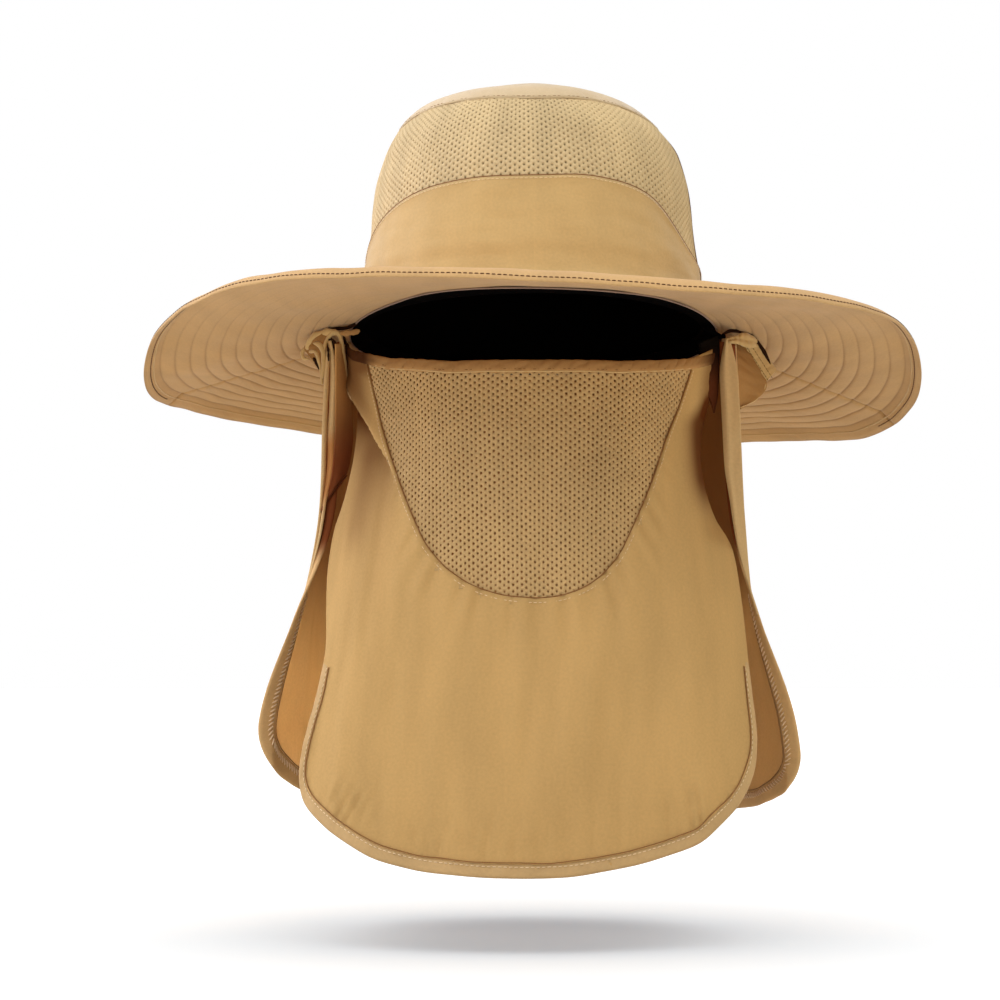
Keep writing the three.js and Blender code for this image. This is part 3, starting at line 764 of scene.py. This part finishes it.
def row_marks(turn):
    return mix(0.12, 1, smooth(0.15, 0.3, np.abs((turn + 0.5) % 1 - 0.5)))


def quilt(turn, share):
    """How far the cloth stands proud between two rows of stitching: little at the front, more behind."""
    within = (share * QUILT_ROWS) % 1
    return row_marks(turn) * (1 - np.abs(2 * within - 1) ** 4)


def brim_sides(turn, share):
    """The brim's cloth, its upward normal, and how far its two faces lie from it."""
    radius = BRIM_INNER_RADIUS + BRIM_WIDTH * share
    points = brim(turn, share)
    points[..., 2] += 0.35 * ripple(round_place(turn, radius), 30, 31) * smooth(0, 0.1, share)
    nudge = 0.001
    run = brim(turn + nudge, share) - brim(turn - nudge, share)
    rise = brim(turn, share + nudge) - brim(turn, share - nudge)
    up = unit(np.cross(rise, run))
    up *= np.sign(up[..., 2:])
    pillow = quilt(turn, share)
    pucker = 0.12 * ripple((turn * 2 * pi * radius, share * 30), 5, 32) * pillow
    puff = (QUILT_PUFF * 1.8 * pillow + pucker) * smooth(1, 0.985, share)
    wall = BRIM_HALF_WALL * np.sqrt(np.clip(1 - ((share - 0.99) / 0.01).clip(0, 1) ** 2, 0.03, 1))
    return points, up, wall + 0.7 * puff, wall + puff


def brim_part(name, first, last, steps, nodes):
    turns = np.linspace(first, last, steps + 1) / 360
    rows = [k + step for k in range(QUILT_ROWS - 1) for step in ROW_STEPS]
    rows += [QUILT_ROWS - 1 + step for step in RIM_STEPS]
    turn, share = grid(turns, np.array(rows) / QUILT_ROWS)
    points, up, top, bottom = brim_sides(turn, share)
    radius = BRIM_INNER_RADIUS + BRIM_WIDTH * share
    to_seam = np.minimum(np.abs(turn * 360 - first), np.abs(last - turn * 360)) * radians(1) * radius
    dip = 1 - 0.45 * smooth(2.2, 0, to_seam)
    coords = turn * 2 * pi * radius, share * BRIM_WIDTH
    marks = row_marks(turn)
    return cloth(name, points, coords, top * dip, bottom * dip, BRIM, nodes, marks=marks, normals=up)


slit = 0.12
brim_part("brim_cloth_front", slit - BRIM_SEAM_ANGLE, BRIM_SEAM_ANGLE - slit, 240, ["brim_front"])
brim_part("brim_cloth_back", BRIM_SEAM_ANGLE + slit, 360 - BRIM_SEAM_ANGLE - slit, 170, ["brim_back"])

for name, turn in (("right", BRIM_SEAM_ANGLE / 360), ("left", -BRIM_SEAM_ANGLE / 360)):
    points, up, _, _ = brim_sides(np.full(60, turn), np.linspace(0.01, RIM_TOP_STITCHES, 60))
    tube(f"brim_side_seam_{name}", points, up, 0.75, 0.33, BROWN_THREAD, sides=6)

spots = ring(900)
points, up, top, bottom = brim_sides(spots, 0 * spots + RIM_TOP_STITCHES)
stitches("rim_stitches_top", points + up * top[:, None], up, DARK_THREAD, length=2.1, radius=0.34,
         closed=True)
front_spots = np.linspace(-0.28, 0.3, 520)
points, up, top, bottom = brim_sides(front_spots, 0 * front_spots + RIM_UNDER_STITCHES)
stitches("rim_stitches_under", points - up * bottom[:, None], -up, DARK_THREAD, length=2.1, radius=0.34)
points, up, top, bottom = brim_sides(spots, 0 * spots + RIM_HEM_EDGE)
tube("rim_hem_edge", points - up * bottom[:, None], -up, 0.4, 0.35, SAND, closed=True, sides=6)

# The black lining is turned out under the brim round the opening, and reaches furthest at the front. At the
# right side, where it reaches a little wider, its black also stands for painted shade under the brim.
FACING = [0.21, 0.21, 0.09, 0.035, 0.045, 0.07, 0.09, 0.09, 0.09, 0.09, 0.09, 0.07, 0.03, 0.012, 0.05, 0.17]
FACING_GIRTH = 600


def facing_share(turn):
    return np.maximum(0.012, all_round(FACING, turn))


def below_brim(turn, share, drop):
    points = brim(turn, share)
    points[..., 2] -= BRIM_HALF_WALL + QUILT_PUFF * 0.75 + drop
    return points


turn, share = grid(ring(240), shares(12))
reach = mix(-0.03, facing_share(turn), share)
coords = turn * FACING_GIRTH, reach * BRIM_WIDTH
cloth("opening_facing", below_brim(turn, reach, 0.5), coords, 0.25, 0.25, BLACK, ["sweatband"],
      wrap=FACING_GIRTH)
spots = ring(600)
edge = below_brim(spots, facing_share(spots) + 0.004, 0.4)
tube("opening_binding", edge, np.array([0, 0, -1.0]), 0.45, 0.4, BINDING, closed=True, sides=6)

# Face mask: its outline and its seams, as length across the cloth from the middle, and height.
MASK_EDGE = [
    (-124, -10), (-124, -39), (-125, -66), (-123, -90), (-124, -102), (-133, -113), (-135, -123),
    (-124, -148), (-114, -172), (-116, -196), (-123, -224), (-123, -237), (-117, -247.5), (-95, -263),
    (-70, -276.5), (-48, -282.5), (-21, -285.5), (0, -286), (19, -285.3), (49, -279.3), (79, -269),
    (104, -249), (117, -232), (122, -216), (121, -188), (124, -158), (124, -128), (118, -116), (107, -104),
    (101, -90), (101.5, -75), (106, -60), (115, -41), (122, -30), (124, -10),
]
INSERT_EDGE = [
    (-89, -27), (-87, -45), (-83, -61), (-74, -78), (-58, -110), (-50, -126.5), (-40, -138.5), (-28.5, -147),
    (-15.5, -152), (-2, -153.8), (10, -153), (20, -149.5), (29, -143), (38, -132), (51, -104.5), (65, -73),
    (75, -55.5), (82, -37), (84, -27),
]
TOP_EDGE = [
    (-124, -6), (-109, -16.7), (-86, -24.5), (-70, -30), (-36, -36.7), (0, -37.7), (37, -36.5), (59, -33),
    (80, -28.2), (106, -20), (124, -6),
]
CREASE = [
    (-124, -38), (-114, -46), (-103, -54.5), (-94, -62), (-85.5, -71), (-78, -79), (-65.5, -96), (-50, -120),
]
HEM_START_Z = -178
SEWN_CASING = 5.6
MASK_HEM_RUN = 640

mask_edge = drawn(MASK_EDGE, 0.035)
insert_edge = drawn(INSERT_EDGE, 0.05)
top_line = eased(*np.array(TOP_EDGE).T, 14)
crease_line = eased(*np.array(CREASE).T, 6)
forward = np.array([0, -1.0, 0])


def mask_painted_shade(length, z):
    """How dark the painted shade on the mask's cloth is, from 0 to 1: below the crease at the upper left,
    high up at the left under the brim, in a fold down the left side, and at the right edge where the cloth
    turns back and in its upper corner.
    """
    from_crease = crease_line(length) - z
    left = smooth(-0.5, 1.5, from_crease) * np.exp(-np.maximum(from_crease, 0) / 30)
    left = left * smooth(-60, -82, length)
    upper = np.maximum(smooth(-90, -26, z) * smooth(-80, -106, length),
                       smooth(-44, -30, z) * smooth(-66, -92, length))
    side = smooth(-136, -110, z) * smooth(-64, -80, z) * np.exp(-(((length + 98) / 11) ** 2))
    right = smooth(6, -6, z + 48 + 0.62 * (101 - length)) * smooth(-114, -86, z) * smooth(73, 97, length)
    right = 0.94 * right + 0.55 * smooth(-56, -44, z) * smooth(90, 105, length)
    return np.clip(0.7 * left + 0.8 * upper + 0.3 * side + right, 0, 1)


def mask_cloth(length, z, move=0.0):
    """The mask as it hangs: soft folds, a crease at the upper left, and turned back at the upper right."""
    points = mask(length / MASK_HALF_LENGTH, z)
    folds = 1.0 * ripple((length, z * 0.25), 34, 41) + 0.35 * ripple((length, z * 0.3), 13, 42)
    points[..., 1] += folds * smooth(-45, -120, z) * smooth(124, 112, np.abs(length))
    from_crease = crease_line(length) - z
    lap = 2.2 * smooth(-14, -1.5, from_crease) * smooth(1.5, -0.5, from_crease)
    tuck = 6 * smooth(-0.5, 2, from_crease) * np.exp(-np.maximum(from_crease, 0) / 20) - lap
    tuck = tuck * smooth(-66, -88, length)
    waist = smooth(-38, -62, z) * smooth(-124, -104, z)
    points[..., 0] += 0.7 * tuck
    points[..., 1] += 0.8 * tuck + 20 * waist * smooth(80, 104, length) + move
    return points


def hem_swell(share, height):
    return height * np.sqrt(np.clip(1 - ((share - 0.5) / 0.5) ** 6, 0.05, 1))


turn, share = grid(shares(281), shares(41))
length, z = (mix(a, b, share) for a, b in zip(insert_edge(turn, -0.3), mask_edge(turn, 0.6)))
low = smooth(0.1, 0.25, np.minimum(turn, 1 - turn))
gathers = 0.9 * smooth(0.24, 0, share) * low * ripple((turn * 330,), 7.5, 43)
above_hem = smooth(0.68, 0.88, share) * smooth(0.96, 0.93, share)
hem_pull = 1.2 * above_hem * smooth(-222, -256, z) * ripple((turn * 800 + 30 * share,), 7, 44)
roll = 0.45 * smooth(0.02, 0, share)
panel = cloth("mask_panel_cloth", mask_cloth(length, z, -gathers - hem_pull), (length, z), THIN_HALF,
              THIN_HALF + roll, MASK, ["mask_panel"], marks=mask_painted_shade(length, z))

path = mask_cloth(*insert_edge(np.linspace(0.004, 0.996, 460)), -0.45)
seam = tube("mask_insert_seam", path, forward, 0.24, 0.3, BROWN_THREAD, sides=6)
path = mask_cloth(*insert_edge(np.linspace(0.02, 0.98, 460), -2.3), -0.55)
seam_stitches = stitches("mask_insert_stitches", path, forward, THREAD, pitch=2.4, length=1.7, radius=0.2)

edge_length, edge_z = insert_edge(shares(800), -3)


def insert_keep(centre):
    length, z = centre.T
    left, right = edge_length < -2, edge_length > -2
    from_left = np.interp(-z, -edge_z[left], edge_length[left], right=200)
    from_right = np.interp(-z, -edge_z[right][::-1], edge_length[right][::-1], right=-200)
    return (length > from_left) & (length < from_right) & (z < top_line(length) - 3)


def insert_surface(length, z):
    return mask_cloth(length, z, 0.55 + 0.25 * ripple((length, z), 18, 45))


mask_net = net("mask_net_cloth", insert_surface, np.arange(-48, 49), np.arange(-52, -8), insert_keep,
               MASK_NET_STEP, MASK_NET_HOLE, MASK_NET, ["mask_mesh"])

# The casing is gathered by the elastic inside it.
length, share = grid(np.linspace(-122, 122, 340), shares(13))
z = top_line(length) - 0.6 - SEWN_CASING * share
bulge = np.sin(pi * share) ** 0.7
points = mask_cloth(length, z, -0.8 * bulge - 0.55 * bulge * ripple((length + 4 * share, share * 3), 4, 46))
# Painted shade on the casing: darker along its upper part, and dark all across towards both ends.
end = np.maximum(smooth(-74, -92, length), smooth(82, 108, length))
shade = mix(0.25, 1, end) * mix(smooth(0.95, 0.6, share), 1, end)
casing = cloth("mask_casing_cloth", points, (length, z), 0.7, 0.7, SHADED_CASING, ["mask_casing"], marks=shade)
length = np.linspace(-120, 120, 400)
z = top_line(length) - SEWN_CASING
casing_edge = tube("mask_casing_edge", mask_cloth(length, z - 0.4, -0.9), forward, 0.32, 0.4, SAND, sides=6)
casing_stitches = stitches("mask_casing_stitches", mask_cloth(length, z + 0.7, -1.2), forward, DARK_THREAD,
                           pitch=2.4, length=1.6, radius=0.14)

# Up the sides the hem is turned back behind the mask.
turn, share = grid(np.linspace(0.001, 0.999, 560), shares(9))
turned = smooth(HEM_START_Z - 8, HEM_START_Z + 8, mask_edge(turn)[1])
length, z = mask_edge(turn, MASK_HEM * share + 1.6 * turned)
wrinkle = 0.25 * ripple((turn * MASK_HEM_RUN + share * 3, share * 2), 6, 47) * np.sin(pi * share)
coords = turn * MASK_HEM_RUN, share * MASK_HEM
hem = cloth("mask_hem_cloth", mask_cloth(length, z, wrinkle + 2.2 * turned), coords, hem_swell(share, 0.68),
            hem_swell(share, 0.85), MASK_HEM_CLOTH, ["mask_hem"])
hemmed = shares(2000)
hemmed = hemmed[mask_edge(hemmed)[1] < HEM_START_Z - 4]
uneven_hem = MASK_HEM + 0.2 + 0.22 * ripple((hemmed[::3] * MASK_HEM_RUN,), 22, 48)
hem_line = tube("mask_hem_seam", mask_cloth(*mask_edge(hemmed[::3], uneven_hem), -1.1), forward, 0.24, 0.4,
                BROWN_THREAD, sides=6)
hem_stitches = stitches("mask_hem_stitches", mask_cloth(*mask_edge(hemmed, MASK_HEM - 1.7), -0.85), forward,
                        THREAD, length=1.8, radius=0.28)


# Neck flap
FLAP_HEM_RUN = 900


def flap_cloth(along, z):
    points = flap(along, z)
    fall = smooth(-20, -120, z)
    away = smooth(FLAP_HALF_LENGTH, FLAP_HALF_LENGTH - 25, np.abs(along))
    move = (1.4 * ripple((along, z * 0.2), 42, 51) + 0.5 * ripple((along, z * 0.35), 16, 52)) * fall * away
    return points + unit(points * [1, 1, 0]) * move[..., None]


u, v = grid(shares(181), shares(71))
along = (FLAP_HALF_LENGTH + 4) * np.sin(pi / 2 * (2 * u - 1))
z = mix(worn_top(along), flap_bottom(along, 2.5), v)
# Painted shade on the flap's inner face: dark high up, towards the middle of the back, and a little over its
# right half.
inside = np.maximum(0.85 * smooth(-185, -105, z), 0.75 * smooth(160, 100, np.abs(along)))
inside = np.maximum(inside, 0.35 * smooth(0, 20, along))
sheet = cloth("neck_flap_cloth", flap_cloth(along, z), (along, z), THIN_HALF, THIN_HALF, FLAP, ["neck_flap"],
              marks=0 * z, marks_behind=inside)


def flap_outline(turn, inset):
    """The flap's edge, from the top left round its foot to the top right, and a distance inside it."""
    side_share, corner_share = 0.14, 0.3
    from_top = np.minimum(turn, 1 - turn)
    sign = np.where(turn < 0.5, -1, 1)
    whole = corner_radius(sign)
    radius = whole - inset
    corner_z = lowest(sign * FLAP_HALF_LENGTH) + whole
    down = np.clip(from_top / side_share, 0, 1)
    side_z = mix(worn_top(sign * (edge_along - inset)), corner_z, down)
    side_along = mix(edge_along - inset, along_at(inset, sign), smooth(-150, -195, side_z))
    bend = pi / 2 * np.clip((from_top - side_share) / (corner_share - side_share), 0, 1)
    rest = np.clip((0.5 - from_top) / (0.5 - corner_share), 0, 1)
    at_corner = along_at(whole - radius * np.cos(bend), sign)
    along = np.where(from_top < corner_share, at_corner, along_at(whole, sign) * rest)
    along = sign * np.where(from_top < side_share, side_along, along)
    z = np.where(from_top < side_share, side_z, corner_z - radius * np.sin(bend))
    return along, np.where(from_top < corner_share, z, lowest(along) + inset)


turn, share = grid(np.linspace(0.0012, 0.9988, 760), shares(9))
along, z = flap_outline(turn, FLAP_HEM * share)
swell = hem_swell(share, 0.8)
coords = turn * FLAP_HEM_RUN, share * FLAP_HEM
# The hem is darker high up, above about z -114 to -130: painted shade.
flap_hem = cloth("neck_flap_hem_cloth", flap_cloth(along, z), coords, swell, swell, HEM, ["neck_flap_hem"],
                 marks=smooth(-130, -114, z))

fine = np.linspace(0.05, 0.95, 1700)
fine = fine[flap_outline(fine, 0)[1] < FLAP_STITCHED_Z]
path = flap_cloth(*flap_outline(fine, FLAP_HEM - 2.6))
beside = flap_cloth(*flap_outline(fine, FLAP_HEM - 2.0))
face = unit(np.cross(np.gradient(path, axis=0), beside - path))
edge_seam = flap_cloth(*flap_outline(fine[::3], FLAP_HEM + 0.2))
flap_stitches = [
    stitches("neck_flap_stitches_in", path + face * 0.8, face, OVERLOCK, pitch=2.3, length=3.9, radius=0.42,
             lift=0.4, slant=50),
    stitches("neck_flap_stitches_out", path - face * 0.8, -face, THREAD, pitch=2.5, length=1.8, radius=0.17),
    tube("neck_flap_hem_seam", edge_seam, face[::3], 0.2, 0.65, BROWN_THREAD, sides=6),
]


# The flap's front edges and its folded corners
def swept(points, count):
    return joined(*columns_at(points, np.linspace(0, len(points) - 1, count)))


def fold_sheet(name, first, second, shape, material, nodes=(), rows=60, columns=19, wave=0.25, depth=(0, 0)):
    """Cloth between two edges. shape gives how far it stands forward from the first edge to the second.
    depth is how strong the painted shade on it is at its upper and lower end, from 0 to 1."""
    a, b = swept(first, rows), swept(second, rows)
    v, u = grid(shares(rows), shares(columns))
    points = mix(a[:, None], b[:, None], u[..., None])
    points[..., 1] -= through(shape, u * (len(shape) - 1)) + wave * ripple((u * 12, v * 60), 9, 61)
    length = np.linalg.norm(a[0] - a[-1])
    width = np.linalg.norm(a[rows // 2] - b[rows // 2])
    marks = mix(*depth, smooth(0.1, 0.75, v))
    coords = u * width, v * length
    return cloth(name, points, coords, FOLD_HALF, FOLD_HALF, material, nodes, marks=marks)


def front_strip(name, side, apex, top, width, narrow, shape, inner_shade=0.0, inner=0.0):
    """The plain upper stretch of the flap's front edge, pleated along its length."""
    v, u = grid(shares(80), shares(25))
    z = mix(top, FLAP_STITCHED_Z - 12, v)
    start = -0.3 - inner * smooth(-86, -72, z)
    span = mix(width, narrow, smooth(0.45, 0.62, v)) - start - 0.3
    points = flap(side * (FLAP_HALF_LENGTH + start + u * span), z)
    relief = through(shape, u * (len(shape) - 1)) * smooth(1, 0.6, v)
    points[..., 1] -= 1.3 + relief + 0.25 * ripple((u * 12, v * 60), 9, 61)
    points[..., 0] = mix(apex, points[..., 0], smooth(top + 3, top - 21, z) ** 0.6)
    # Painted shade on the strip, towards its inner side and part way down.
    marks = inner_shade * smooth(-54, -68, z) * smooth(-104, -88, z) * smooth(0.15, 0.5, u)
    return cloth(name, points, (u * width, z), FOLD_HALF, FOLD_HALF, STRIP, marks=marks)


front_strips = [
    front_strip("neck_flap_front_right", 1, 98.9, -11.5, 9.2, 7.5, [0.2, 0, 0.2, 0.5, 1.3, 0.2], inner=2.2),
    front_strip("neck_flap_front_left", -1, -103, -13, 6.4, 3.2, [0.3, 0.7, -1.5, 0.3, 1.4, 0.9], inner_shade=1.0),
]

# Narrow rolls, most of them in the knotted bunch of folds at the left: name, material, half width, half
# height, seed and line. The dark ones are no cloth of the hat but painted shade, laid in the gaps and creases
# between folds and under the brim; the rest are folded cloth and a loose thread.
ROLLS = [
    ("flap_corner_left_loop", SAND, 1.3, 1.5, 71,
     [(-104.6, -23, -34), (-105.6, -23, -19), (-104.4, -23, -12.6), (-101.4, -24, -8.6), (-98, -24, -9.8),
      (-96.4, -23, -17), (-95.2, -21, -27), (-94, -20, -38)]),
    ("flap_corner_left_top", SAND, 2.2, 1.9, 72,
     [(-114.8, -16, -15.5), (-112.4, -19, -11), (-108.4, -21, -8.9), (-103.5, -23, -8), (-99.5, -24, -8)]),
    ("flap_corner_left_bunch", SAND, 1.5, 1.5, 73,
     [(-111.5, -19, -13), (-108.4, -22, -14.2), (-106.2, -23, -17.5), (-105.6, -24, -24),
      (-106.2, -24, -32)]),
    ("flap_corner_left_second", SAND, 1.1, 1.2, 78,
     [(-113.6, -17, -17), (-110.6, -20, -17.4), (-108.8, -21, -20.5), (-107.2, -22, -27),
      (-106.5, -23, -35)]),
    ("flap_corner_left_lobe", SAND, 1.0, 1.0, 74,
     [(-113.6, -15, -20.4), (-116.6, -14, -19.6), (-117.2, -14, -16.4), (-114.6, -15, -14.2),
      (-110.6, -17, -14.8)]),
    ("flap_corner_left_tongue", SHADED_CASING, 1.5, 0.6, 75,
     [(-101, -24, -9.2), (-95.4, -24.5, -9.0), (-90.6, -24.5, -8.4), (-87.6, -24.5, -7.4)]),
    ("flap_corner_left_shade", SHADE, 1.0, 0.6, 85,
     [(-114, -17, -12.6), (-107.4, -19, -7.4), (-101, -20, -5.6), (-94, -21, -5.2), (-86, -22, -1.6)]),
    ("flap_corner_left_crease_shade", DEEP_SHADE, 0.5, 0.5, 79,
     [(-93.6, -23, -81.5), (-98.5, -25, -88), (-103.5, -24.5, -95), (-107, -22.5, -101)]),
    ("flap_corner_left_hollow_shade", SHADE, 1.7, 0.8, 81,
     [(-103.6, -24.6, -13.4), (-101.4, -25, -13.6), (-100.6, -25.4, -17.5)]),
    ("flap_corner_left_gap_shade", SHADE, 0.6, 0.5, 82,
     [(-103.6, -25.4, -14), (-103.5, -25.8, -18.5), (-103.2, -25.8, -23.5)]),
    ("flap_corner_left_pocket_shade", SHADE, 0.9, 0.5, 83,
     [(-111.4, -19, -20.4), (-109.6, -20.5, -23.4), (-107.8, -21.5, -27)]),
    ("flap_corner_left_thread", THREAD, 0.3, 0.3, 80,
     [(-106.5, -19, -101), (-107.3, -19.5, -103), (-107.6, -18.5, -108.5), (-106.8, -17.5, -108.3),
      (-106.2, -18.5, -102)]),
    ("flap_corner_right_shade", SHADE, 1.1, 0.7, 84,
     [(96.6, -20, -8.6), (101.6, -18, -6.2), (109, -16, -7.2), (114.4, -13, -10.4), (118.6, -11, -16),
      (121.6, -9.5, -22)]),
    ("flap_corner_right_dark_shade", BLACK, 1.6, 0.7, 86,
     [(86, -27, -6.5), (90, -26, -8.2), (94.6, -24, -10.4), (98, -22, -9.6)]),
    ("flap_corner_right_edge", SAND, 0.5, 0.5, 77,
     [(119.4, -10.5, -32), (117.4, -11.5, -36.5), (113, -14, -41.5), (105, -20.5, -46.5)]),
]
# A roll is thinner towards its ends and a little uneven.
t = shares(36)
taper = 0.35 + 0.65 * np.sin(pi * t) ** 0.5
for name, material, width, height, seed, line in ROLLS:
    uneven = 1 + 0.18 * ripple((t * 20,), 6, seed)
    line = swept(line, len(t))
    tube(name, line, forward, width * taper * uneven, height * taper, material, sides=12)

# The inside of the flap at the left, darkening downwards with painted shade; a dark sheet of painted shade in
# the gap beside the mask at the right; and the right corner, with painted shade on it: it is folded outward
# to a cone, with a tongue and a stitched tab on its upper side.
folds = [
    fold_sheet(
        "neck_flap_fold_left",
        [(-99.8, -27.6, -15), (-99.5, -27.9, -30), (-99.5, -27.9, -52), (-99.8, -27.6, -66),
         (-101.5, -26.6, -84), (-106.4, -22, -99)],
        [(-95.6, -20, -14), (-94.4, -19, -25), (-92.5, -19, -38), (-91.5, -19, -52), (-91.5, -19.5, -66),
         (-94.8, -21, -82), (-106.2, -22, -100)],
        [0, 0.9, 1.6, 1.2, 0], FLAP_SHADE, depth=(0.1, 0.95)),
    fold_sheet(
        "mask_corner_right_shade",
        [(83.5, -41, -17.5), (83.5, -41, -23.6), (84.5, -40, -28.8), (86.4, -38, -33.8), (86.6, -37, -39),
         (91, -26, -48)],
        [(94.4, -23.5, -9.6), (94.4, -23.5, -18.5), (94.2, -23.5, -27), (93.8, -23.5, -35),
         (93.2, -23.5, -42), (91.6, -24.5, -50)],
        [0, 0.4, 0.4, 0.2, 0], DEEP_SHADE, rows=40, columns=13, depth=(1, 0)),
    fold_sheet(
        "flap_corner_right_cloth",
        [(99, -24, -11), (101.6, -23, -20), (103.6, -22, -33), (104.6, -21, -46.5)],
        [(108.5, -16, -14.5), (114.5, -13, -23), (119.6, -10, -32.5), (115, -13, -40), (105.2, -20, -46.8)],
        [0, -1.2, -1.6, -0.9, 0], CONE, ["flap_corner_right"], rows=46, columns=31, wave=0.4,
        depth=(0.75, 0.35)),
    fold_sheet(
        "flap_corner_right_tongue",
        [(98.6, -24, -11.5), (103.5, -22, -9.6), (108.4, -19, -7.6), (115, -13, -9.6)],
        [(99.4, -25, -14), (103.6, -24, -14.2), (109.6, -19, -15.4), (114.2, -13, -13.4)],
        [0, 0.9, 0.5, 1.1, 0], SAND, rows=40, columns=17, wave=0.5),
    fold_sheet(
        "flap_corner_right_tab",
        [(108.2, -16, -14.6), (113.6, -13, -22.8), (119.8, -10.5, -31)],
        [(114.4, -12, -10.6), (119.8, -9, -17.4), (125.2, -7, -24.2)],
        [0, 0.8, 1.1, 0.8, 0], SAND, rows=30, columns=13),
]
TAB_FACE = np.array([0.2, -0.95, -0.2])
tab_rows = [
    stitches(f"flap_corner_right_seam_{k}", swept([(x, y, z), (x + 11.2, y + 5, z - 16.4)], 40), TAB_FACE,
             DARK_THREAD, pitch=1.7, length=1.4, radius=0.17)
    for k, (x, y, z) in enumerate([(109.2, -16.4, -14.4), (111.4, -16.2, -13.2)])
]

# The left corner behind the bunch: z on the edge, then x, y and z at its outer end.
CORNER_LEFT = [(-8, 112, -18, -10), (-13, 116, -15, -14.5), (-19, 113, -15, -19), (-28, 108, -19, -27)]
u, v = grid(shares(31), shares(41))
edge_z, end_x, end_y, end_z = columns_at(CORNER_LEFT, v * (len(CORNER_LEFT) - 1))
edge = flap(-FLAP_HALF_LENGTH + 0 * v, edge_z)
x = mix(np.abs(edge[..., 0]) - 1, end_x, u)
y = mix(edge[..., 1], end_y, u) - 2 * np.sin(pi * u) + 0.5 * ripple((u * 20, v * 30), 9, 61)
points = joined(-x, y, mix(edge[..., 2], end_z, u))
# Its cloth carries painted shade all over.
corner_left = cloth("flap_corner_left_cloth", points, (u * 20, v * 40), 0.5, 0.5, CONE, ["flap_corner_left"],
                    marks=0.7 + 0 * v)

# Floor, light and camera
FLOOR_Z, FLOOR_SLOPE = -0.311, 0.11
FLOOR_NEAR, FLOOR_FAR, FLOOR_HALF_WIDTH = -1.45, 6.0, 5.0
FLOOR_GLOW = 0.325
WORLD_LIGHT, WORLD_BEHIND = 0.3, 1.0
WHITE = (1, 1, 1, 1)
scene = bpy.context.scene
floor = bpy.data.meshes.new("floor")
corners = [(-1, FLOOR_NEAR), (1, FLOOR_NEAR), (1, FLOOR_FAR), (-1, FLOOR_FAR)]
corners = [(side * FLOOR_HALF_WIDTH, y, FLOOR_Z + FLOOR_SLOPE * y) for side, y in corners]
floor.from_pydata(corners, [], [(0, 1, 2, 3)])
ground = bpy.data.objects.new("floor", floor)
scene.collection.objects.link(ground)
pale = bpy.data.materials.new("floor_paper")
tree = cleared(pale)
seen = add_node(tree, "LightPath").outputs["Is Camera Ray"]
glow = add_node(tree, "Math", {0: seen, 1: FLOOR_GLOW}, operation="MULTIPLY").outputs[0]
paper = add_node(tree, "BsdfPrincipled", {
    "Base Color": (1.0, 0.98, 0.96, 1), "Roughness": 1.0, "Specular IOR Level": 0.0,
    "Emission Color": (0.74, 0.885, 1, 1), "Emission Strength": glow})
add_node(tree, "OutputMaterial", {0: paper.outputs[0]})
floor.materials.append(pale)

# The world is white behind the hat, and lights it less than that.
world = bpy.data.worlds.new("studio")
scene.world = world
tree = cleared(world)
seen = add_node(tree, "LightPath").outputs["Is Camera Ray"]
ambient = add_node(tree, "Background", {0: WHITE, 1: WORLD_LIGHT}).outputs[0]
behind = add_node(tree, "Background", {0: WHITE, 1: WORLD_BEHIND}).outputs[0]
choice = add_node(tree, "MixShader", {0: seen, 1: ambient, 2: behind}).outputs[0]
add_node(tree, "OutputWorld", {0: choice})

receivers = bpy.data.collections.new("not_the_floor")
receivers.objects.link(ground)
receivers.collection_objects[0].light_linking.link_state = "EXCLUDE"


def lamp(name, place, target, size, power, kind="AREA", color=(1, 1, 1)):
    light = bpy.data.lights.new(name, kind)
    light.energy = power
    light.color = color
    item = bpy.data.objects.new(name, light)
    item.location = place
    item.rotation_euler = (Vector(target) - Vector(place)).to_track_quat("-Z", "Y").to_euler()
    scene.collection.objects.link(item)
    if kind == "SUN":
        light.angle = radians(size)
    else:
        light.size = size
        item.light_linking.receiver_collection = receivers


lamp("overhead", (-0.05, 0.05, 2), (0, 0, 0), 95, 2.3, "SUN")
lamp("key", (-1.0, -1.4, 1.1), (0, 0, -0.1), 1.0, 15, color=(0.97, 1, 1.16))
lamp("left_edge", (-1.7, 0.7, 0.5), (0, 0, -0.1), 1.0, 17, color=(0.95, 1, 1.3))
lamp("left_side", (-1.8, -0.7, 0), (0, 0, -0.05), 0.8, 3.5, color=(0.9, 1, 1.35))
lamp("low_right", (1.2, -1.75, -0.75), (0, 0, -0.05), 0.7, 23, color=(1, 0.98, 0.93))
lamp("high_right", (1.7, -0.9, 0.9), (0, 0, 0), 0.8, 3.5)

camera = bpy.data.objects.new("camera", bpy.data.cameras.new("camera"))
camera.data.sensor_width = 36
camera.data.lens = 111.755
camera.location = (-0.0165, -1.5686, -0.3279)
camera.rotation_euler = (radians(98.6), 0, 0)
scene.collection.objects.link(camera)
scene.camera = camera
scene.view_settings.view_transform = "Standard"
